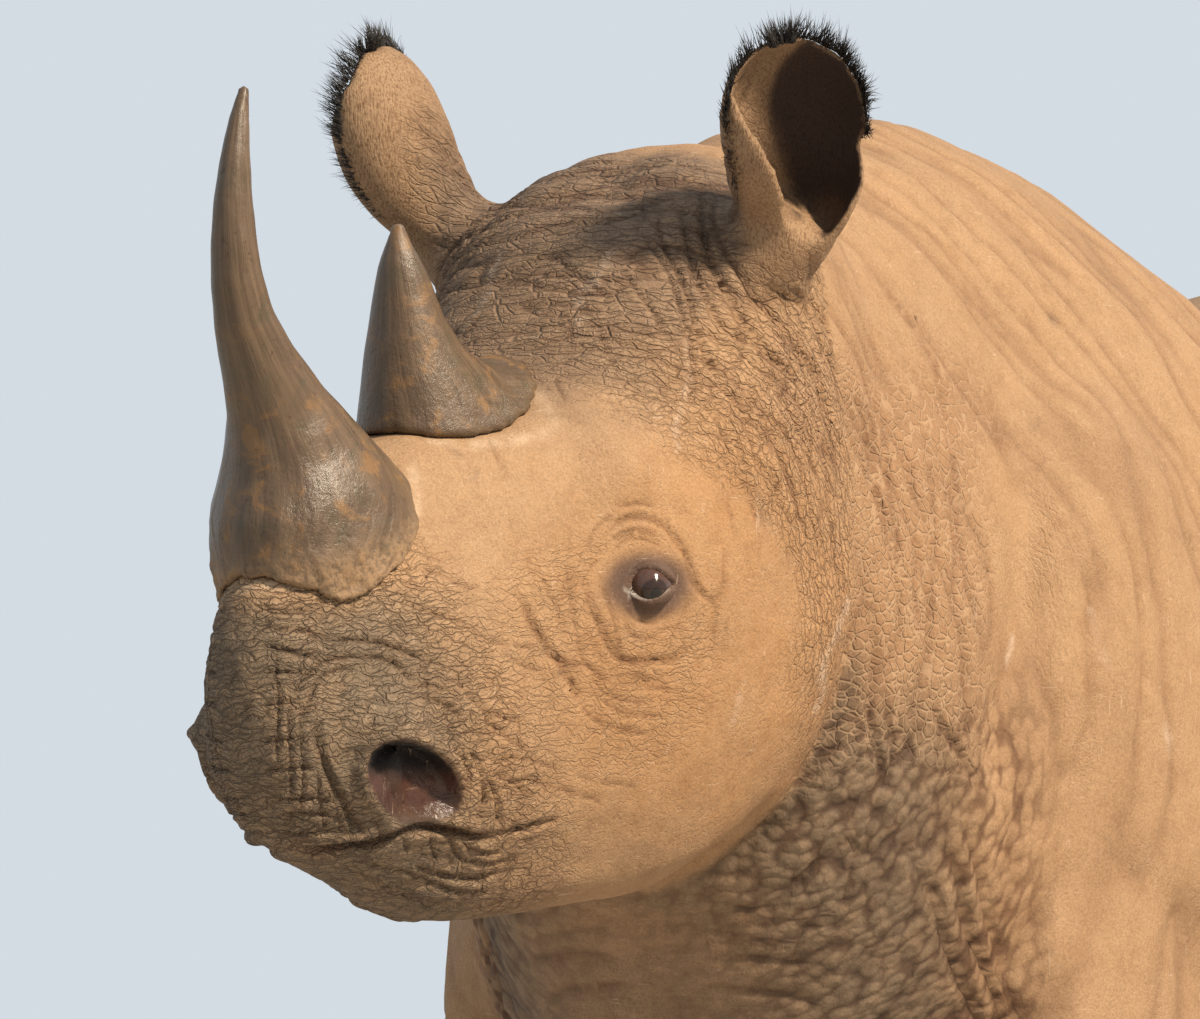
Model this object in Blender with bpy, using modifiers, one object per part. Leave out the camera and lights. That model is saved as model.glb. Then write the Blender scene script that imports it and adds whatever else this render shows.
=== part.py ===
"""Black rhinoceros, life size, standing square on four feet with its head raised and turned a little.

Metres, +Z up. The animal faces -X and its left side is at -Y. It is first laid out with the withers
over the world origin, and at the end it is moved so that the middle of its footprint is the origin.

The flesh (torso, head, legs, toes, ear roots and tail root) is built as one closed skin from lofted
limbs, and thin cuts then part it into named pieces. Horns, eyes, ears, nails and tail are fitted to it.
"""

import math

import bmesh
import bpy
from mathutils import Matrix, Vector

# ---------------------------------------------------------------- driving dimensions

WITHERS = 1.60  # height of the shoulder hump above the floor
GAP = 0.0004  # clear space at each cut
FIT = 0.0010  # clear space round horns, ears, eyes and nails
FLESH_VOXEL = 0.011
FLESH_TRIANGLES = 3500

HEAD_YAW = math.radians(10)  # turned towards its right
HEAD_PITCH = math.radians(37.3)  # muzzle below the level of the poll
HEAD_PLACE = Vector((-0.447, 0.004, 1.490))  # midway between the ear roots

EYE_RADIUS = 0.0165
EYE_PLACE = (0.289, -0.093, 0.136)  # along, above and beside the head's axis

EAR_WALL = 0.007
EAR_TURN = {"left": math.radians(48), "right": math.radians(82)}  # mouth of the cup, outward from ahead

FORE_STEP = {"left": -0.03, "right": 0.05}  # how far back each foot stands
HIND_STEP = {"left": 0.08, "right": -0.07}
FORE_TRACK = 0.212  # foot centre to the midline
HIND_TRACK = 0.215
SIDES = {"left": -1, "right": 1}  # sign of Y

ANKLE = 0.115  # height of the cut above each foot
TAIL_CUT_X = 1.735

# Base colour and roughness of each surface
SURFACES = {
    "hide": ((0.50, 0.33, 0.21, 1), 0.85),
    "horn": ((0.27, 0.21, 0.15, 1), 0.50),
    "nail": ((0.20, 0.16, 0.13, 1), 0.55),
    "eye": ((0.03, 0.02, 0.015, 1), 0.10),
}

# ---------------------------------------------------------------- body sections
# Torso, by upright sections along the body:
# (x, top, bottom, widest height, half width, roundness above, roundness below)
TORSO = [
    (-0.52, 1.450, 1.18, 1.32, 0.110, 2.0, 2.0),
    (-0.44, 1.506, 1.07, 1.28, 0.150, 1.9, 2.0),
    (-0.36, 1.549, 0.90, 1.20, 0.184, 1.8, 2.0),
    (-0.26, 1.584, 0.78, 1.12, 0.225, 1.75, 2.0),
    (-0.12, 1.598, 0.700, 1.06, 0.275, 1.7, 2.1),
    (0.02, 1.602, 0.655, 1.03, 0.330, 1.75, 2.2),
    (0.20, 1.570, 0.615, 1.02, 0.385, 1.7, 2.2),
    (0.40, 1.492, 0.580, 1.01, 0.430, 1.65, 2.2),
    (0.62, 1.446, 0.550, 1.00, 0.465, 1.8, 2.2),
    (0.85, 1.446, 0.535, 1.00, 0.480, 2.0, 2.2),
    (1.08, 1.490, 0.560, 1.00, 0.460, 2.1, 2.2),
    (1.28, 1.520, 0.640, 1.03, 0.415, 2.1, 2.1),
    (1.46, 1.485, 0.760, 1.08, 0.345, 2.1, 2.0),
    (1.60, 1.400, 0.880, 1.12, 0.255, 2.1, 2.0),
    (1.69, 1.290, 0.980, 1.14, 0.160, 2.0, 2.0),
    (1.73, 1.210, 1.070, 1.14, 0.060, 2.0, 2.0),
]

# Head, by sections across its own axis: (along, top, bottom, widest level, half width, roundness x2)
HEAD = [
    (-0.13, 0.010, -0.190, -0.090, 0.105, 2.0, 2.0),
    (-0.05, 0.055, -0.280, -0.100, 0.140, 2.4, 2.2),
    (0.03, 0.066, -0.335, -0.130, 0.155, 2.6, 2.6),
    (0.11, 0.050, -0.362, -0.150, 0.163, 2.6, 2.9),
    (0.19, 0.032, -0.368, -0.160, 0.162, 2.5, 3.0),
    (0.27, 0.050, -0.362, -0.150, 0.148, 2.3, 3.0),
    (0.34, 0.086, -0.345, -0.140, 0.130, 2.0, 2.9),
    (0.41, 0.106, -0.304, -0.110, 0.112, 1.9, 2.7),
    (0.48, 0.112, -0.262, -0.070, 0.098, 1.9, 2.3),
    (0.54, 0.112, -0.210, -0.050, 0.071, 1.9, 2.1),
    (0.58, 0.092, -0.152, -0.050, 0.063, 2.0, 2.0),
    (0.612, 0.052, -0.106, -0.040, 0.050, 2.0, 2.0),
    (0.636, 0.004, -0.080, -0.036, 0.030, 2.0, 2.0),
]

# Legs, by level sections: (height, centre x, half length, half width, inward shift of the centre)
FORELEG = [
    (1.30, 0.04, 0.150, 0.085, 0.035),
    (1.12, 0.00, 0.180, 0.098, 0.022),
    (0.94, -0.03, 0.182, 0.104, 0.012),
    (0.80, -0.02, 0.162, 0.112, 0.004),
    (0.67, 0.005, 0.132, 0.110, 0.0),
    (0.55, 0.010, 0.112, 0.100, 0.0),
    (0.44, 0.000, 0.106, 0.100, 0.0),
    (0.35, 0.000, 0.097, 0.094, 0.0),
    (0.24, 0.015, 0.082, 0.083, 0.0),
    (0.15, 0.012, 0.090, 0.092, 0.0),
    (0.07, -0.005, 0.110, 0.110, 0.0),
    (0.02, -0.010, 0.114, 0.113, 0.0),
    (-0.06, -0.010, 0.112, 0.111, 0.0),
]
HINDLEG = [
    (1.28, 1.38, 0.190, 0.110, 0.035),
    (1.10, 1.38, 0.250, 0.150, 0.015),
    (0.94, 1.36, 0.255, 0.155, 0.0),
    (0.80, 1.35, 0.215, 0.140, 0.0),
    (0.67, 1.40, 0.160, 0.112, 0.0),
    (0.55, 1.47, 0.120, 0.090, 0.0),
    (0.45, 1.515, 0.103, 0.082, 0.0),
    (0.36, 1.510, 0.085, 0.074, 0.0),
    (0.25, 1.480, 0.073, 0.071, 0.0),
    (0.15, 1.460, 0.080, 0.080, 0.0),
    (0.07, 1.440, 0.098, 0.098, 0.0),
    (0.02, 1.435, 0.102, 0.101, 0.0),
    (-0.06, 1.435, 0.100, 0.099, 0.0),
]

# Horns, by points of the centre line in the head's plane: (along, above, half depth, half width)
FRONT_HORN = [
    (0.461, 0.060, 0.094, 0.074),
    (0.459, 0.094, 0.090, 0.071),
    (0.453, 0.124, 0.077, 0.064),
    (0.445, 0.155, 0.055, 0.050),
    (0.441, 0.190, 0.038, 0.037),
    (0.440, 0.228, 0.0285, 0.0285),
    (0.436, 0.262, 0.0228, 0.0228),
    (0.426, 0.291, 0.0196, 0.0196),
    (0.412, 0.316, 0.0170, 0.0170),
    (0.394, 0.341, 0.0143, 0.0143),
    (0.374, 0.363, 0.0112, 0.0112),
    (0.352, 0.383, 0.0075, 0.0075),
    (0.331, 0.399, 0.0030, 0.0030),
]
REAR_HORN = [
    (0.274, -0.012, 0.122, 0.074),
    (0.282, 0.030, 0.098, 0.064),
    (0.284, 0.066, 0.068, 0.052),
    (0.278, 0.102, 0.043, 0.040),
    (0.267, 0.134, 0.028, 0.029),
    (0.252, 0.162, 0.0200, 0.0205),
    (0.246, 0.176, 0.0145, 0.0150),
    (0.238, 0.189, 0.0080, 0.0080),
    (0.230, 0.199, 0.0030, 0.0030),
]

# Centre line of an ear, from its root to its tip: (along, above, beside), in the head's axes
EAR = [
    (0.004, -0.012, 0.104),
    (0.000, 0.006, 0.138),
    (-0.006, 0.036, 0.162),
    (-0.012, 0.075, 0.180),
    (-0.024, 0.124, 0.189),
    (-0.038, 0.165, 0.191),
]
# Cup of the ear at shares of that line: (share, deep, wide, front rim, rear rim) with rims in degrees
EAR_CUP = [
    (0.20, 0.032, 0.035, 164, 164),
    (0.36, 0.034, 0.039, 140, 150),
    (0.50, 0.041, 0.047, 112, 126),
    (0.64, 0.047, 0.055, 96, 98),
    (0.78, 0.044, 0.056, 88, 84),
    (0.90, 0.034, 0.046, 80, 74),
    (0.97, 0.022, 0.028, 74, 66),
    (1.00, 0.012, 0.010, 70, 60),
]

TAIL = [
    (1.62, 1.330, 0.046),
    (1.70, 1.290, 0.040),
    (1.762, 1.215, 0.034),
    (1.790, 1.110, 0.028),
    (1.800, 0.980, 0.023),
    (1.803, 0.850, 0.019),
    (1.800, 0.730, 0.018),
    (1.795, 0.640, 0.020),
    (1.790, 0.580, 0.008),
]

# ---------------------------------------------------------------- materials


def material(name, colour, roughness):
    made = bpy.data.materials.new(name)
    made.use_nodes = True
    shader = made.node_tree.nodes["Principled BSDF"]
    shader.inputs["Base Color"].default_value = colour
    shader.inputs["Roughness"].default_value = roughness
    return made


# ---------------------------------------------------------------- curves and lofts


def spline(rows, steps):
    """Rows of numbers as a smooth run of rows, with steps spans between each two."""
    padded = [rows[0], *rows, rows[-1]]
    smooth = []
    for a, b, c, d in zip(padded, padded[1:], padded[2:], padded[3:]):
        for step in range(steps):
            t = step / steps
            smooth.append([catmull(*four, t) for four in zip(a, b, c, d)])
    smooth.append(list(rows[-1]))
    return smooth


def catmull(a, b, c, d, t):
    """The Catmull-Rom curve through b and c at t."""
    return 0.5 * (
        2 * b + (c - a) * t + (2 * a - 5 * b + 4 * c - d) * t * t + (3 * b - a - 3 * c + d) * t**3
    )


def signed_power(value, power):
    return math.copysign(abs(value) ** power, value)


def oval(half_width, up, down, round_up, round_down, sides=40):
    """Points of a closed section as (across, above) its widest level; 2 is an ellipse, more is boxier."""
    points = []
    for side in range(sides):
        angle = 2 * math.pi * side / sides
        above = math.sin(angle) >= 0
        power = 2 / (round_up if above else round_down)
        across = half_width * signed_power(math.cos(angle), power)
        height = (up if above else down) * signed_power(math.sin(angle), power)
        points.append((across, height))
    return points


def loft(name, rings):
    """A closed mesh through rings of points, capped at both ends."""
    mesh = bmesh.new()
    loops = [[mesh.verts.new(point) for point in ring] for ring in rings]
    for near, far in zip(loops, loops[1:]):
        count = len(near)
        for i in range(count):
            j = (i + 1) % count
            mesh.faces.new((near[i], near[j], far[j], far[i]))
    mesh.faces.new(loops[0])
    mesh.faces.new(loops[-1])
    bmesh.ops.recalc_face_normals(mesh, faces=mesh.faces)
    return mesh_object(name, mesh)


def mesh_object(name, mesh):
    data = bpy.data.meshes.new(name)
    mesh.to_mesh(data)
    mesh.free()
    made = bpy.data.objects.new(name, data)
    workshop.objects.link(made)
    return made


def path_rings(points, radii, across, sides):
    """Oval rings square to a path; across is the direction of the second radius."""
    rings = []
    for i, (point, (deep, wide)) in enumerate(zip(points, radii)):
        along = (points[min(i + 1, len(points) - 1)] - points[max(i - 1, 0)]).normalized()
        out = along.cross(across).normalized()
        rings.append([point + across * y + out * z for y, z in oval(wide, deep, deep, 2, 2, sides)])
    return rings


# ---------------------------------------------------------------- head frame


def head_frame():
    """Matrix of the head's own axes: along the muzzle, above it, and to the animal's left."""
    ahead = Vector((-math.cos(HEAD_YAW), math.sin(HEAD_YAW), 0))
    up = Vector((0, 0, 1))
    along = math.cos(HEAD_PITCH) * ahead - math.sin(HEAD_PITCH) * up
    above = math.sin(HEAD_PITCH) * ahead + math.cos(HEAD_PITCH) * up
    left = up.cross(ahead)
    turn = Matrix((along, above, left)).transposed().to_4x4()
    return Matrix.Translation(HEAD_PLACE) @ turn


def in_head(along, above, left=0.0):
    return head_frame() @ Vector((along, above, left))


def head_direction(along, above, left):
    return (head_frame().to_3x3() @ Vector((along, above, left))).normalized()


# ---------------------------------------------------------------- flesh forms


def torso_form():
    rings = []
    for x, top, bottom, widest, half, round_up, round_down in spline(TORSO, 4):
        section = oval(half, top - widest, widest - bottom, round_up, round_down)
        rings.append([(x, y, widest + z) for y, z in section])
    return loft("torso_form", rings)


def head_form():
    rings = []
    for along, top, bottom, widest, half, round_up, round_down in spline(HEAD, 4):
        section = oval(half, top - widest, widest - bottom, round_up, round_down)
        rings.append([in_head(along, widest + z, y) for y, z in section])
    return loft("head_form", rings)


def step_shift(height, step):
    """How far a leg's section moves back for its step: none at the shoulder, all of it at the foot."""
    reach = max(0.0, min(1.0, (1.0 - height) / 0.85))
    return step * reach


def leg_form(name, stations, track, side, step):
    rings = []
    for height, x, half_length, half_width, inward in spline(stations, 3):
        centre = Vector((x + step_shift(height, step), side * (track - inward), height))
        section = oval(half_length, half_width, half_width, 2.1, 2.1)
        rings.append([centre + Vector((x_off, y_off, 0)) for x_off, y_off in section])
    return loft(name, rings)


def ball(name, centre, radii, turn=None, segments=16, rings=8):
    """An ellipsoid from a UV sphere."""
    mesh = bmesh.new()
    size = Matrix.Diagonal((*radii, 1))
    place = Matrix.Translation(centre) @ (turn.to_4x4() if turn else Matrix()) @ size
    bmesh.ops.create_uvsphere(mesh, u_segments=segments, v_segments=rings, radius=1, matrix=place)
    return mesh_object(name, mesh)


def foot_centre(stations, track, side, step):
    sole = stations[-2]
    return Vector((sole[1] + step, side * track, 0))


def toes(side):
    """Each toe's turn from straight ahead, reach beyond the foot's wall and half width."""
    turn = side * math.radians(56)
    return {"inner": (-turn, 0.010, 0.036), "middle": (0.0, 0.022, 0.052), "outer": (turn, 0.010, 0.036)}


def toe_direction(angle):
    return Vector((-math.cos(angle), math.sin(angle), 0))


def toe_forms(name, centre, side, radius):
    made = []
    for toe, (angle, reach, half_width) in toes(side).items():
        out = toe_direction(angle)
        across = Vector((0, 0, 1)).cross(out)
        turn = Matrix((out, across, Vector((0, 0, 1)))).transposed()
        depth = 0.052
        place = centre + out * (radius + reach - depth) + Vector((0, 0, 0.022))
        made.append(ball(f"{name}_{toe}", place, (depth, half_width + 0.012, 0.066), turn))
    return made


def ear_line(side, steps=6):
    """Points of an ear's centre line in space."""
    return [in_head(along, above, -side * beside) for along, above, beside in spline(EAR, steps)]


def ear_point(line, share):
    """Place and direction at a share of an ear's centre line."""
    reach = share * (len(line) - 1)
    index = min(int(reach), len(line) - 2)
    near, far = line[index], line[index + 1]
    before = line[max(index - 2, 0)]
    after = line[min(index + 3, len(line) - 1)]
    return near.lerp(far, reach - index), (after - before).normalized()


def ear_stub(side):
    """The fleshy tube that an ear's cup grows from."""
    points = ear_line(side)[:13]
    across = head_direction(0.8, 0.6, 0)
    radii = []
    for i in range(len(points)):
        fade = i / (len(points) - 1)
        radii.append((0.050 - 0.020 * fade, 0.054 - 0.020 * fade))
    return loft("ear_stub", path_rings(points, radii, across, 24))


def tail_path():
    return [(Vector((x, 0.0, z)), radius) for x, z, radius in spline(TAIL, 1)]


def muscle_forms():
    """Shoulder blade, cheek and haunch swellings, on both sides."""
    made = []
    for side in SIDES.values():
        turn = Matrix.Rotation(math.radians(-14), 3, "Y")
        made.append(ball("shoulder", Vector((-0.01, side * 0.205, 1.09)), (0.20, 0.102, 0.32), turn))
        made.append(ball("haunch", Vector((1.34, side * 0.22, 1.06)), (0.29, 0.165, 0.33)))
        made.append(ball("cheek", in_head(0.15, -0.235, -side * 0.085), (0.100, 0.085, 0.095)))
        brow = in_head(0.235, -0.040, -side * 0.108)
        made.append(ball("brow", brow, (0.055, 0.036, 0.036)))
        wing = in_head(0.556, -0.036, -side * 0.070)
        made.append(ball("nostril_wing", wing, (0.036, 0.034, 0.044)))
    made.append(ball("nose_boss", in_head(0.465, 0.062), (0.082, 0.062, 0.054)))
    made.append(ball("chin", in_head(0.532, -0.148), (0.052, 0.044, 0.046)))
    return made


# ---------------------------------------------------------------- joining and cutting


def evaluated_mesh(source, name):
    """The object's finished mesh as a new object in the workshop."""
    bpy.context.view_layer.update()
    graph = bpy.context.evaluated_depsgraph_get()
    data = bpy.data.meshes.new_from_object(source.evaluated_get(graph), depsgraph=graph)
    made = bpy.data.objects.new(name, data)
    made.matrix_world = source.matrix_world
    workshop.objects.link(made)
    return made


def baked(target):
    """target with its modifiers applied, under the same name."""
    name = target.name
    made = evaluated_mesh(target, name + "_baked")
    bpy.data.objects.remove(target)
    made.name = name
    return made


def joined(name, pieces):
    """One mesh of several closed forms, laid together."""
    mesh = bmesh.new()
    for piece in pieces:
        mesh.from_mesh(piece.data)
        bpy.data.objects.remove(piece)
    return mesh_object(name, mesh)


def thinning_at(point):
    """How freely the mesh may be thinned here: least on the head, less on the feet."""
    head = (point - in_head(0.3, -0.1)).length
    near_head = max(0.0, min(1.0, (0.60 - head) / 0.20))
    near_floor = max(0.0, min(1.0, (0.22 - point.z) / 0.10))
    return 1.0 - max(0.62 * near_head, 0.15 * near_floor)


def whole_flesh(forms):
    rough = joined("flesh_forms", forms)
    remesh = rough.modifiers.new("skin", "REMESH")
    remesh.mode = "VOXEL"
    remesh.voxel_size = FLESH_VOXEL
    smooth = rough.modifiers.new("soften", "SMOOTH")
    smooth.factor = 0.5
    smooth.iterations = 12
    fine = evaluated_mesh(rough, "fine_flesh")
    thinned = fine.vertex_groups.new(name="thinned")
    for vertex in fine.data.vertices:
        thinned.add([vertex.index], thinning_at(vertex.co), "REPLACE")
    thin = fine.modifiers.new("thin", "DECIMATE")
    thin.vertex_group = "thinned"
    thin.vertex_group_factor = 1.0
    triangles = sum(len(face.vertices) - 2 for face in fine.data.polygons)
    thin.ratio = FLESH_TRIANGLES / triangles
    flesh = evaluated_mesh(fine, "flesh")
    for used in (rough, fine):
        bpy.data.objects.remove(used)
    return flesh


def boolean(target, tool, operation, use_self=False):
    """target after a Boolean with tool, as a new object. The old target is removed."""
    cut = target.modifiers.new("cut", "BOOLEAN")
    cut.operation = operation
    cut.object = tool
    cut.solver = "EXACT"
    cut.use_self = use_self
    return baked(target)


def copy_of(source, name):
    made = bpy.data.objects.new(name, source.data.copy())
    made.matrix_world = source.matrix_world
    workshop.objects.link(made)
    return made


def swollen(source, by):
    """A copy whose surface stands off by this much."""
    made = copy_of(source, source.name + "_swollen")
    stand_off = made.modifiers.new("stand_off", "DISPLACE")
    stand_off.strength = by
    stand_off.mid_level = 0
    grown = evaluated_mesh(made, made.name + "_tool")
    bpy.data.objects.remove(made)
    return grown


def slab(name, centre, turn, size):
    """A box cutter with its middle at centre."""
    mesh = bmesh.new()
    place = Matrix.Translation(centre) @ turn.to_4x4() @ Matrix.Diagonal((*size, 1))
    bmesh.ops.create_cube(mesh, size=1, matrix=place)
    return mesh_object(name, mesh)


def half_space(name, point, outward, reach=4.0):
    """A huge box that fills the side of a plane that outward points to."""
    outward = outward.normalized()
    turn = outward.to_track_quat("Z", "Y").to_matrix()
    return slab(name, point + outward * reach / 2, turn, (reach, reach, reach))


def bounds_box(name, low, high):
    centre = (Vector(low) + Vector(high)) / 2
    size = Vector(high) - Vector(low)
    return slab(name, centre, Matrix.Identity(3), size)


def split_plane(whole, name_ahead, name_behind, point, normal):
    """Parts whole at a plane. The piece that normal points to is name_ahead."""
    normal = normal.normalized()
    ahead = copy_of(whole, name_ahead)
    near = half_space("ahead_tool", point + normal * GAP / 2, normal)
    far = half_space("behind_tool", point - normal * GAP / 2, -normal)
    ahead = boolean(ahead, near, "INTERSECT")
    behind = boolean(whole, far, "INTERSECT")
    behind.name = name_behind
    for tool in (near, far):
        bpy.data.objects.remove(tool)
    return ahead, behind


def take_box(whole, name, low, high):
    """Takes the part of whole inside a box, and leaves whole with that box, and a gap, cut away."""
    inner = bounds_box("inner_tool", low, high)
    gap = Vector((GAP, GAP, GAP))
    outer = bounds_box("outer_tool", Vector(low) - gap, Vector(high) + gap)
    taken = boolean(copy_of(whole, name), inner, "INTERSECT")
    rest = boolean(whole, outer, "DIFFERENCE")
    for tool in (inner, outer):
        bpy.data.objects.remove(tool)
    return taken, rest


# ---------------------------------------------------------------- fitted pieces


def horn_form(name, stations):
    rows = spline(stations, 1)
    points = [in_head(along, above) for along, above, _, _ in rows]
    radii = [(deep, wide) for _, _, deep, wide in rows]
    left = head_direction(0, 0, 1)
    return loft(name, path_rings(points, radii, left, 16))


def cup_at(share):
    """Depth, width and rim angles of the ear's cup at a share of its line."""
    if share <= EAR_CUP[0][0]:
        return EAR_CUP[0][1:]
    for (start, *first), (stop, *second) in zip(EAR_CUP, EAR_CUP[1:]):
        if share <= stop:
            t = (share - start) / (stop - start)
            return [a + (b - a) * t for a, b in zip(first, second)]
    return EAR_CUP[-1][1:]


def ear_form(name, side, turn, across_steps=8, up_steps=10):
    """A cupped leaf: a flat grid rolled about the ear's line, with Solidify for its wall."""
    line = ear_line(side)
    yaw = Matrix.Rotation(-HEAD_YAW - side * turn, 3, "Z")
    facing = yaw @ Vector((-1, 0, 0))
    mesh = bmesh.new()
    bmesh.ops.create_grid(mesh, x_segments=across_steps, y_segments=up_steps, size=1)
    for vertex in mesh.verts:
        across = vertex.co.x
        rise = (vertex.co.y + 1) / 2
        share = 0.22 + 0.78 * math.sin(rise * math.pi / 2) ** 0.9
        deep, wide, front, rear = cup_at(share)
        place, axis = ear_point(line, share)
        mouth = (facing - axis * facing.dot(axis)).normalized()
        rim_way = mouth.cross(axis) * side
        angle = math.radians(rear if across > 0 else front) * across
        out = mouth * (-math.cos(angle) * deep) + rim_way * math.sin(angle) * wide
        vertex.co = place + out
    made = mesh_object(name, mesh)
    wall = made.modifiers.new("wall", "SOLIDIFY")
    wall.thickness = EAR_WALL
    wall.offset = 0
    return baked(made)


def nail_form(name, centre, angle, reach, half_width):
    """A toe's horny plate, standing on the floor."""
    out = toe_direction(angle)
    across = Vector((0, 0, 1)).cross(out)
    tilted_up = (Vector((0, 0, 1)) - out * 0.34).normalized()
    turn = Matrix((tilted_up.cross(across), across, tilted_up)).transposed()
    place = centre + out * (reach - 0.010) + Vector((0, 0, 0.012))
    plate = ball(name, place, (0.022, half_width, 0.052), turn, segments=12, rings=8)
    floor = half_space("floor_tool", Vector((0, 0, 0)), Vector((0, 0, 1)))
    plate = boolean(plate, floor, "INTERSECT")
    bpy.data.objects.remove(floor)
    return plate


def tail_form():
    path = tail_path()
    points = [point for point, _ in path]
    radii = [(radius, radius) for _, radius in path]
    return loft("tail", path_rings(points, radii, Vector((0, 1, 0)), 12))


# ---------------------------------------------------------------- the animal


def legs():
    """Name, sections, track, side sign and step of each leg."""
    for side, sign in SIDES.items():
        yield f"foreleg_{side}", FORELEG, FORE_TRACK, sign, FORE_STEP[side]
        yield f"hindleg_{side}", HINDLEG, HIND_TRACK, sign, HIND_STEP[side]


def flesh_forms():
    forms = [torso_form(), head_form(), *muscle_forms()]
    for name, stations, track, sign, step in legs():
        forms.append(leg_form(name + "_form", stations, track, sign, step))
        radius = stations[-2][2]
        forms += toe_forms(name, foot_centre(stations, track, sign, step), sign, radius)
    forms += [ear_stub(sign) for sign in SIDES.values()]
    forms.append(tail_form())
    return forms


def cut_legs(flesh):
    """Takes each leg off as a foot and a leg."""
    reach = {"foreleg": (-0.30, 0.185, 0.060, 0.660), "hindleg": (1.23, 1.72, 0.060, 0.600)}
    taken = []
    for name, *_, sign, step in legs():
        front, rear, inside, top = reach[name.split("_")[0]]
        front += 0.4 * step
        near, far = sorted((sign * inside, sign * 0.62))
        levels = {name.replace("leg", "foot"): (-0.2, ANKLE), name: (ANKLE + GAP, top)}
        for piece_name, (low, high) in levels.items():
            piece, flesh = take_box(flesh, piece_name, (front, near, low), (rear, far, high))
            taken.append(piece)
    return taken, flesh


def cut_body(flesh):
    """Head, neck and trunk."""
    nape = in_head(-0.055, 0.10)
    throat = in_head(0.115, -0.385)
    down = (throat - nape).normalized()
    left = head_direction(0, 0, 1)
    turn = Matrix((down.cross(left), left, -down)).transposed()
    depth = (throat - nape).length
    middle = nape + down * (depth / 2 - 0.4) + turn.col[0] * 0.6
    head_box = slab("head_box", middle, turn, (1.2, 1.0, depth + 0.8))
    grown = slab("head_room", middle, turn, (1.2 + 2 * GAP, 1.0, depth + 0.8 + 2 * GAP))
    head = boolean(copy_of(flesh, "head"), head_box, "INTERSECT")
    rest = boolean(flesh, grown, "DIFFERENCE")
    for tool in (head_box, grown):
        bpy.data.objects.remove(tool)

    shoulder_line = Vector((-0.26, 0, -0.80))
    neck_way = shoulder_line.cross(Vector((0, 1, 0)))
    if neck_way.x > 0:
        neck_way = -neck_way
    neck, trunk = split_plane(rest, "neck", "trunk", Vector((-0.10, 0, WITHERS)), neck_way)
    return head, neck, trunk


def nail_forms():
    made = []
    for name, stations, track, sign, step in legs():
        centre = foot_centre(stations, track, sign, step)
        radius = stations[-2][2]
        for toe, (angle, reach, half_width) in toes(sign).items():
            nail = f"nail_{name.replace('leg', 'foot')}_{toe}"
            made.append(nail_form(nail, centre, angle, radius + reach, half_width))
    return made


def eye_forms():
    along, above, beside = EYE_PLACE
    made = []
    for side, sign in SIDES.items():
        made.append(ball(f"eye_{side}", in_head(along, above, -sign * beside), (EYE_RADIUS,) * 3))
    return made


def build():
    """Every piece, grouped by its material."""
    flesh = whole_flesh(flesh_forms())
    floor = half_space("floor_tool", Vector((0, 0, 0)), Vector((0, 0, 1)))
    flesh = boolean(flesh, floor, "INTERSECT")
    stood_off = swollen(flesh, FIT)
    ears = [ear_form(f"ear_{side}", sign, EAR_TURN[side]) for side, sign in SIDES.items()]
    horns = [horn_form("horn_front", FRONT_HORN), horn_form("horn_rear", REAR_HORN)]
    ears = [boolean(ear, stood_off, "DIFFERENCE", True) for ear in ears]
    horns = [boolean(horn, stood_off, "DIFFERENCE", True) for horn in horns]
    nails = [boolean(nail, stood_off, "DIFFERENCE", True) for nail in nail_forms()]

    ahead = half_space("ahead_tool", Vector((TAIL_CUT_X + GAP, 0, 1)), Vector((-1, 0, 0)))
    behind = half_space("behind_tool", Vector((TAIL_CUT_X, 0, 1)), Vector((1, 0, 0)))
    tail = boolean(tail_form(), ahead, "DIFFERENCE")
    flesh = boolean(flesh, behind, "DIFFERENCE")
    for tool in (floor, stood_off, ahead, behind):
        bpy.data.objects.remove(tool)

    eyes = eye_forms()
    for eye in eyes:
        socket = swollen(eye, FIT)
        flesh = boolean(flesh, socket, "DIFFERENCE")
        bpy.data.objects.remove(socket)
    limbs, flesh = cut_legs(flesh)
    hide = [*cut_body(flesh), *limbs, tail, *ears]
    return {"hide": hide, "horn": horns, "nail": nails, "eye": eyes}


def finish(group, colour):
    for piece in group:
        piece.data.materials.clear()
        piece.data.materials.append(colour)
        piece.data.shade_smooth()
        workshop.objects.unlink(piece)
        animal.objects.link(piece)


def centre_footprint(all_pieces):
    """Moves the animal so that the middle of its bounds, on the floor, is the origin."""
    corners = [piece.matrix_world @ vertex.co for piece in all_pieces for vertex in piece.data.vertices]
    low = [min(corner[axis] for corner in corners) for axis in range(3)]
    high = [max(corner[axis] for corner in corners) for axis in range(3)]
    place = bpy.data.objects.new("footprint", None)
    animal.objects.link(place)
    place.location = (-(low[0] + high[0]) / 2, -(low[1] + high[1]) / 2, -low[2])
    for piece in all_pieces:
        piece.parent = place


for old in list(bpy.data.objects):
    bpy.data.objects.remove(old)
workshop = bpy.data.collections.new("workshop")
animal = bpy.data.collections.new("black_rhinoceros")
for collection in (workshop, animal):
    bpy.context.scene.collection.children.link(collection)

pieces = build()
for slot, (colour, roughness) in SURFACES.items():
    finish(pieces[slot], material(slot, colour, roughness))
centre_footprint([piece for group in pieces.values() for piece in group])
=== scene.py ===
import math

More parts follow.
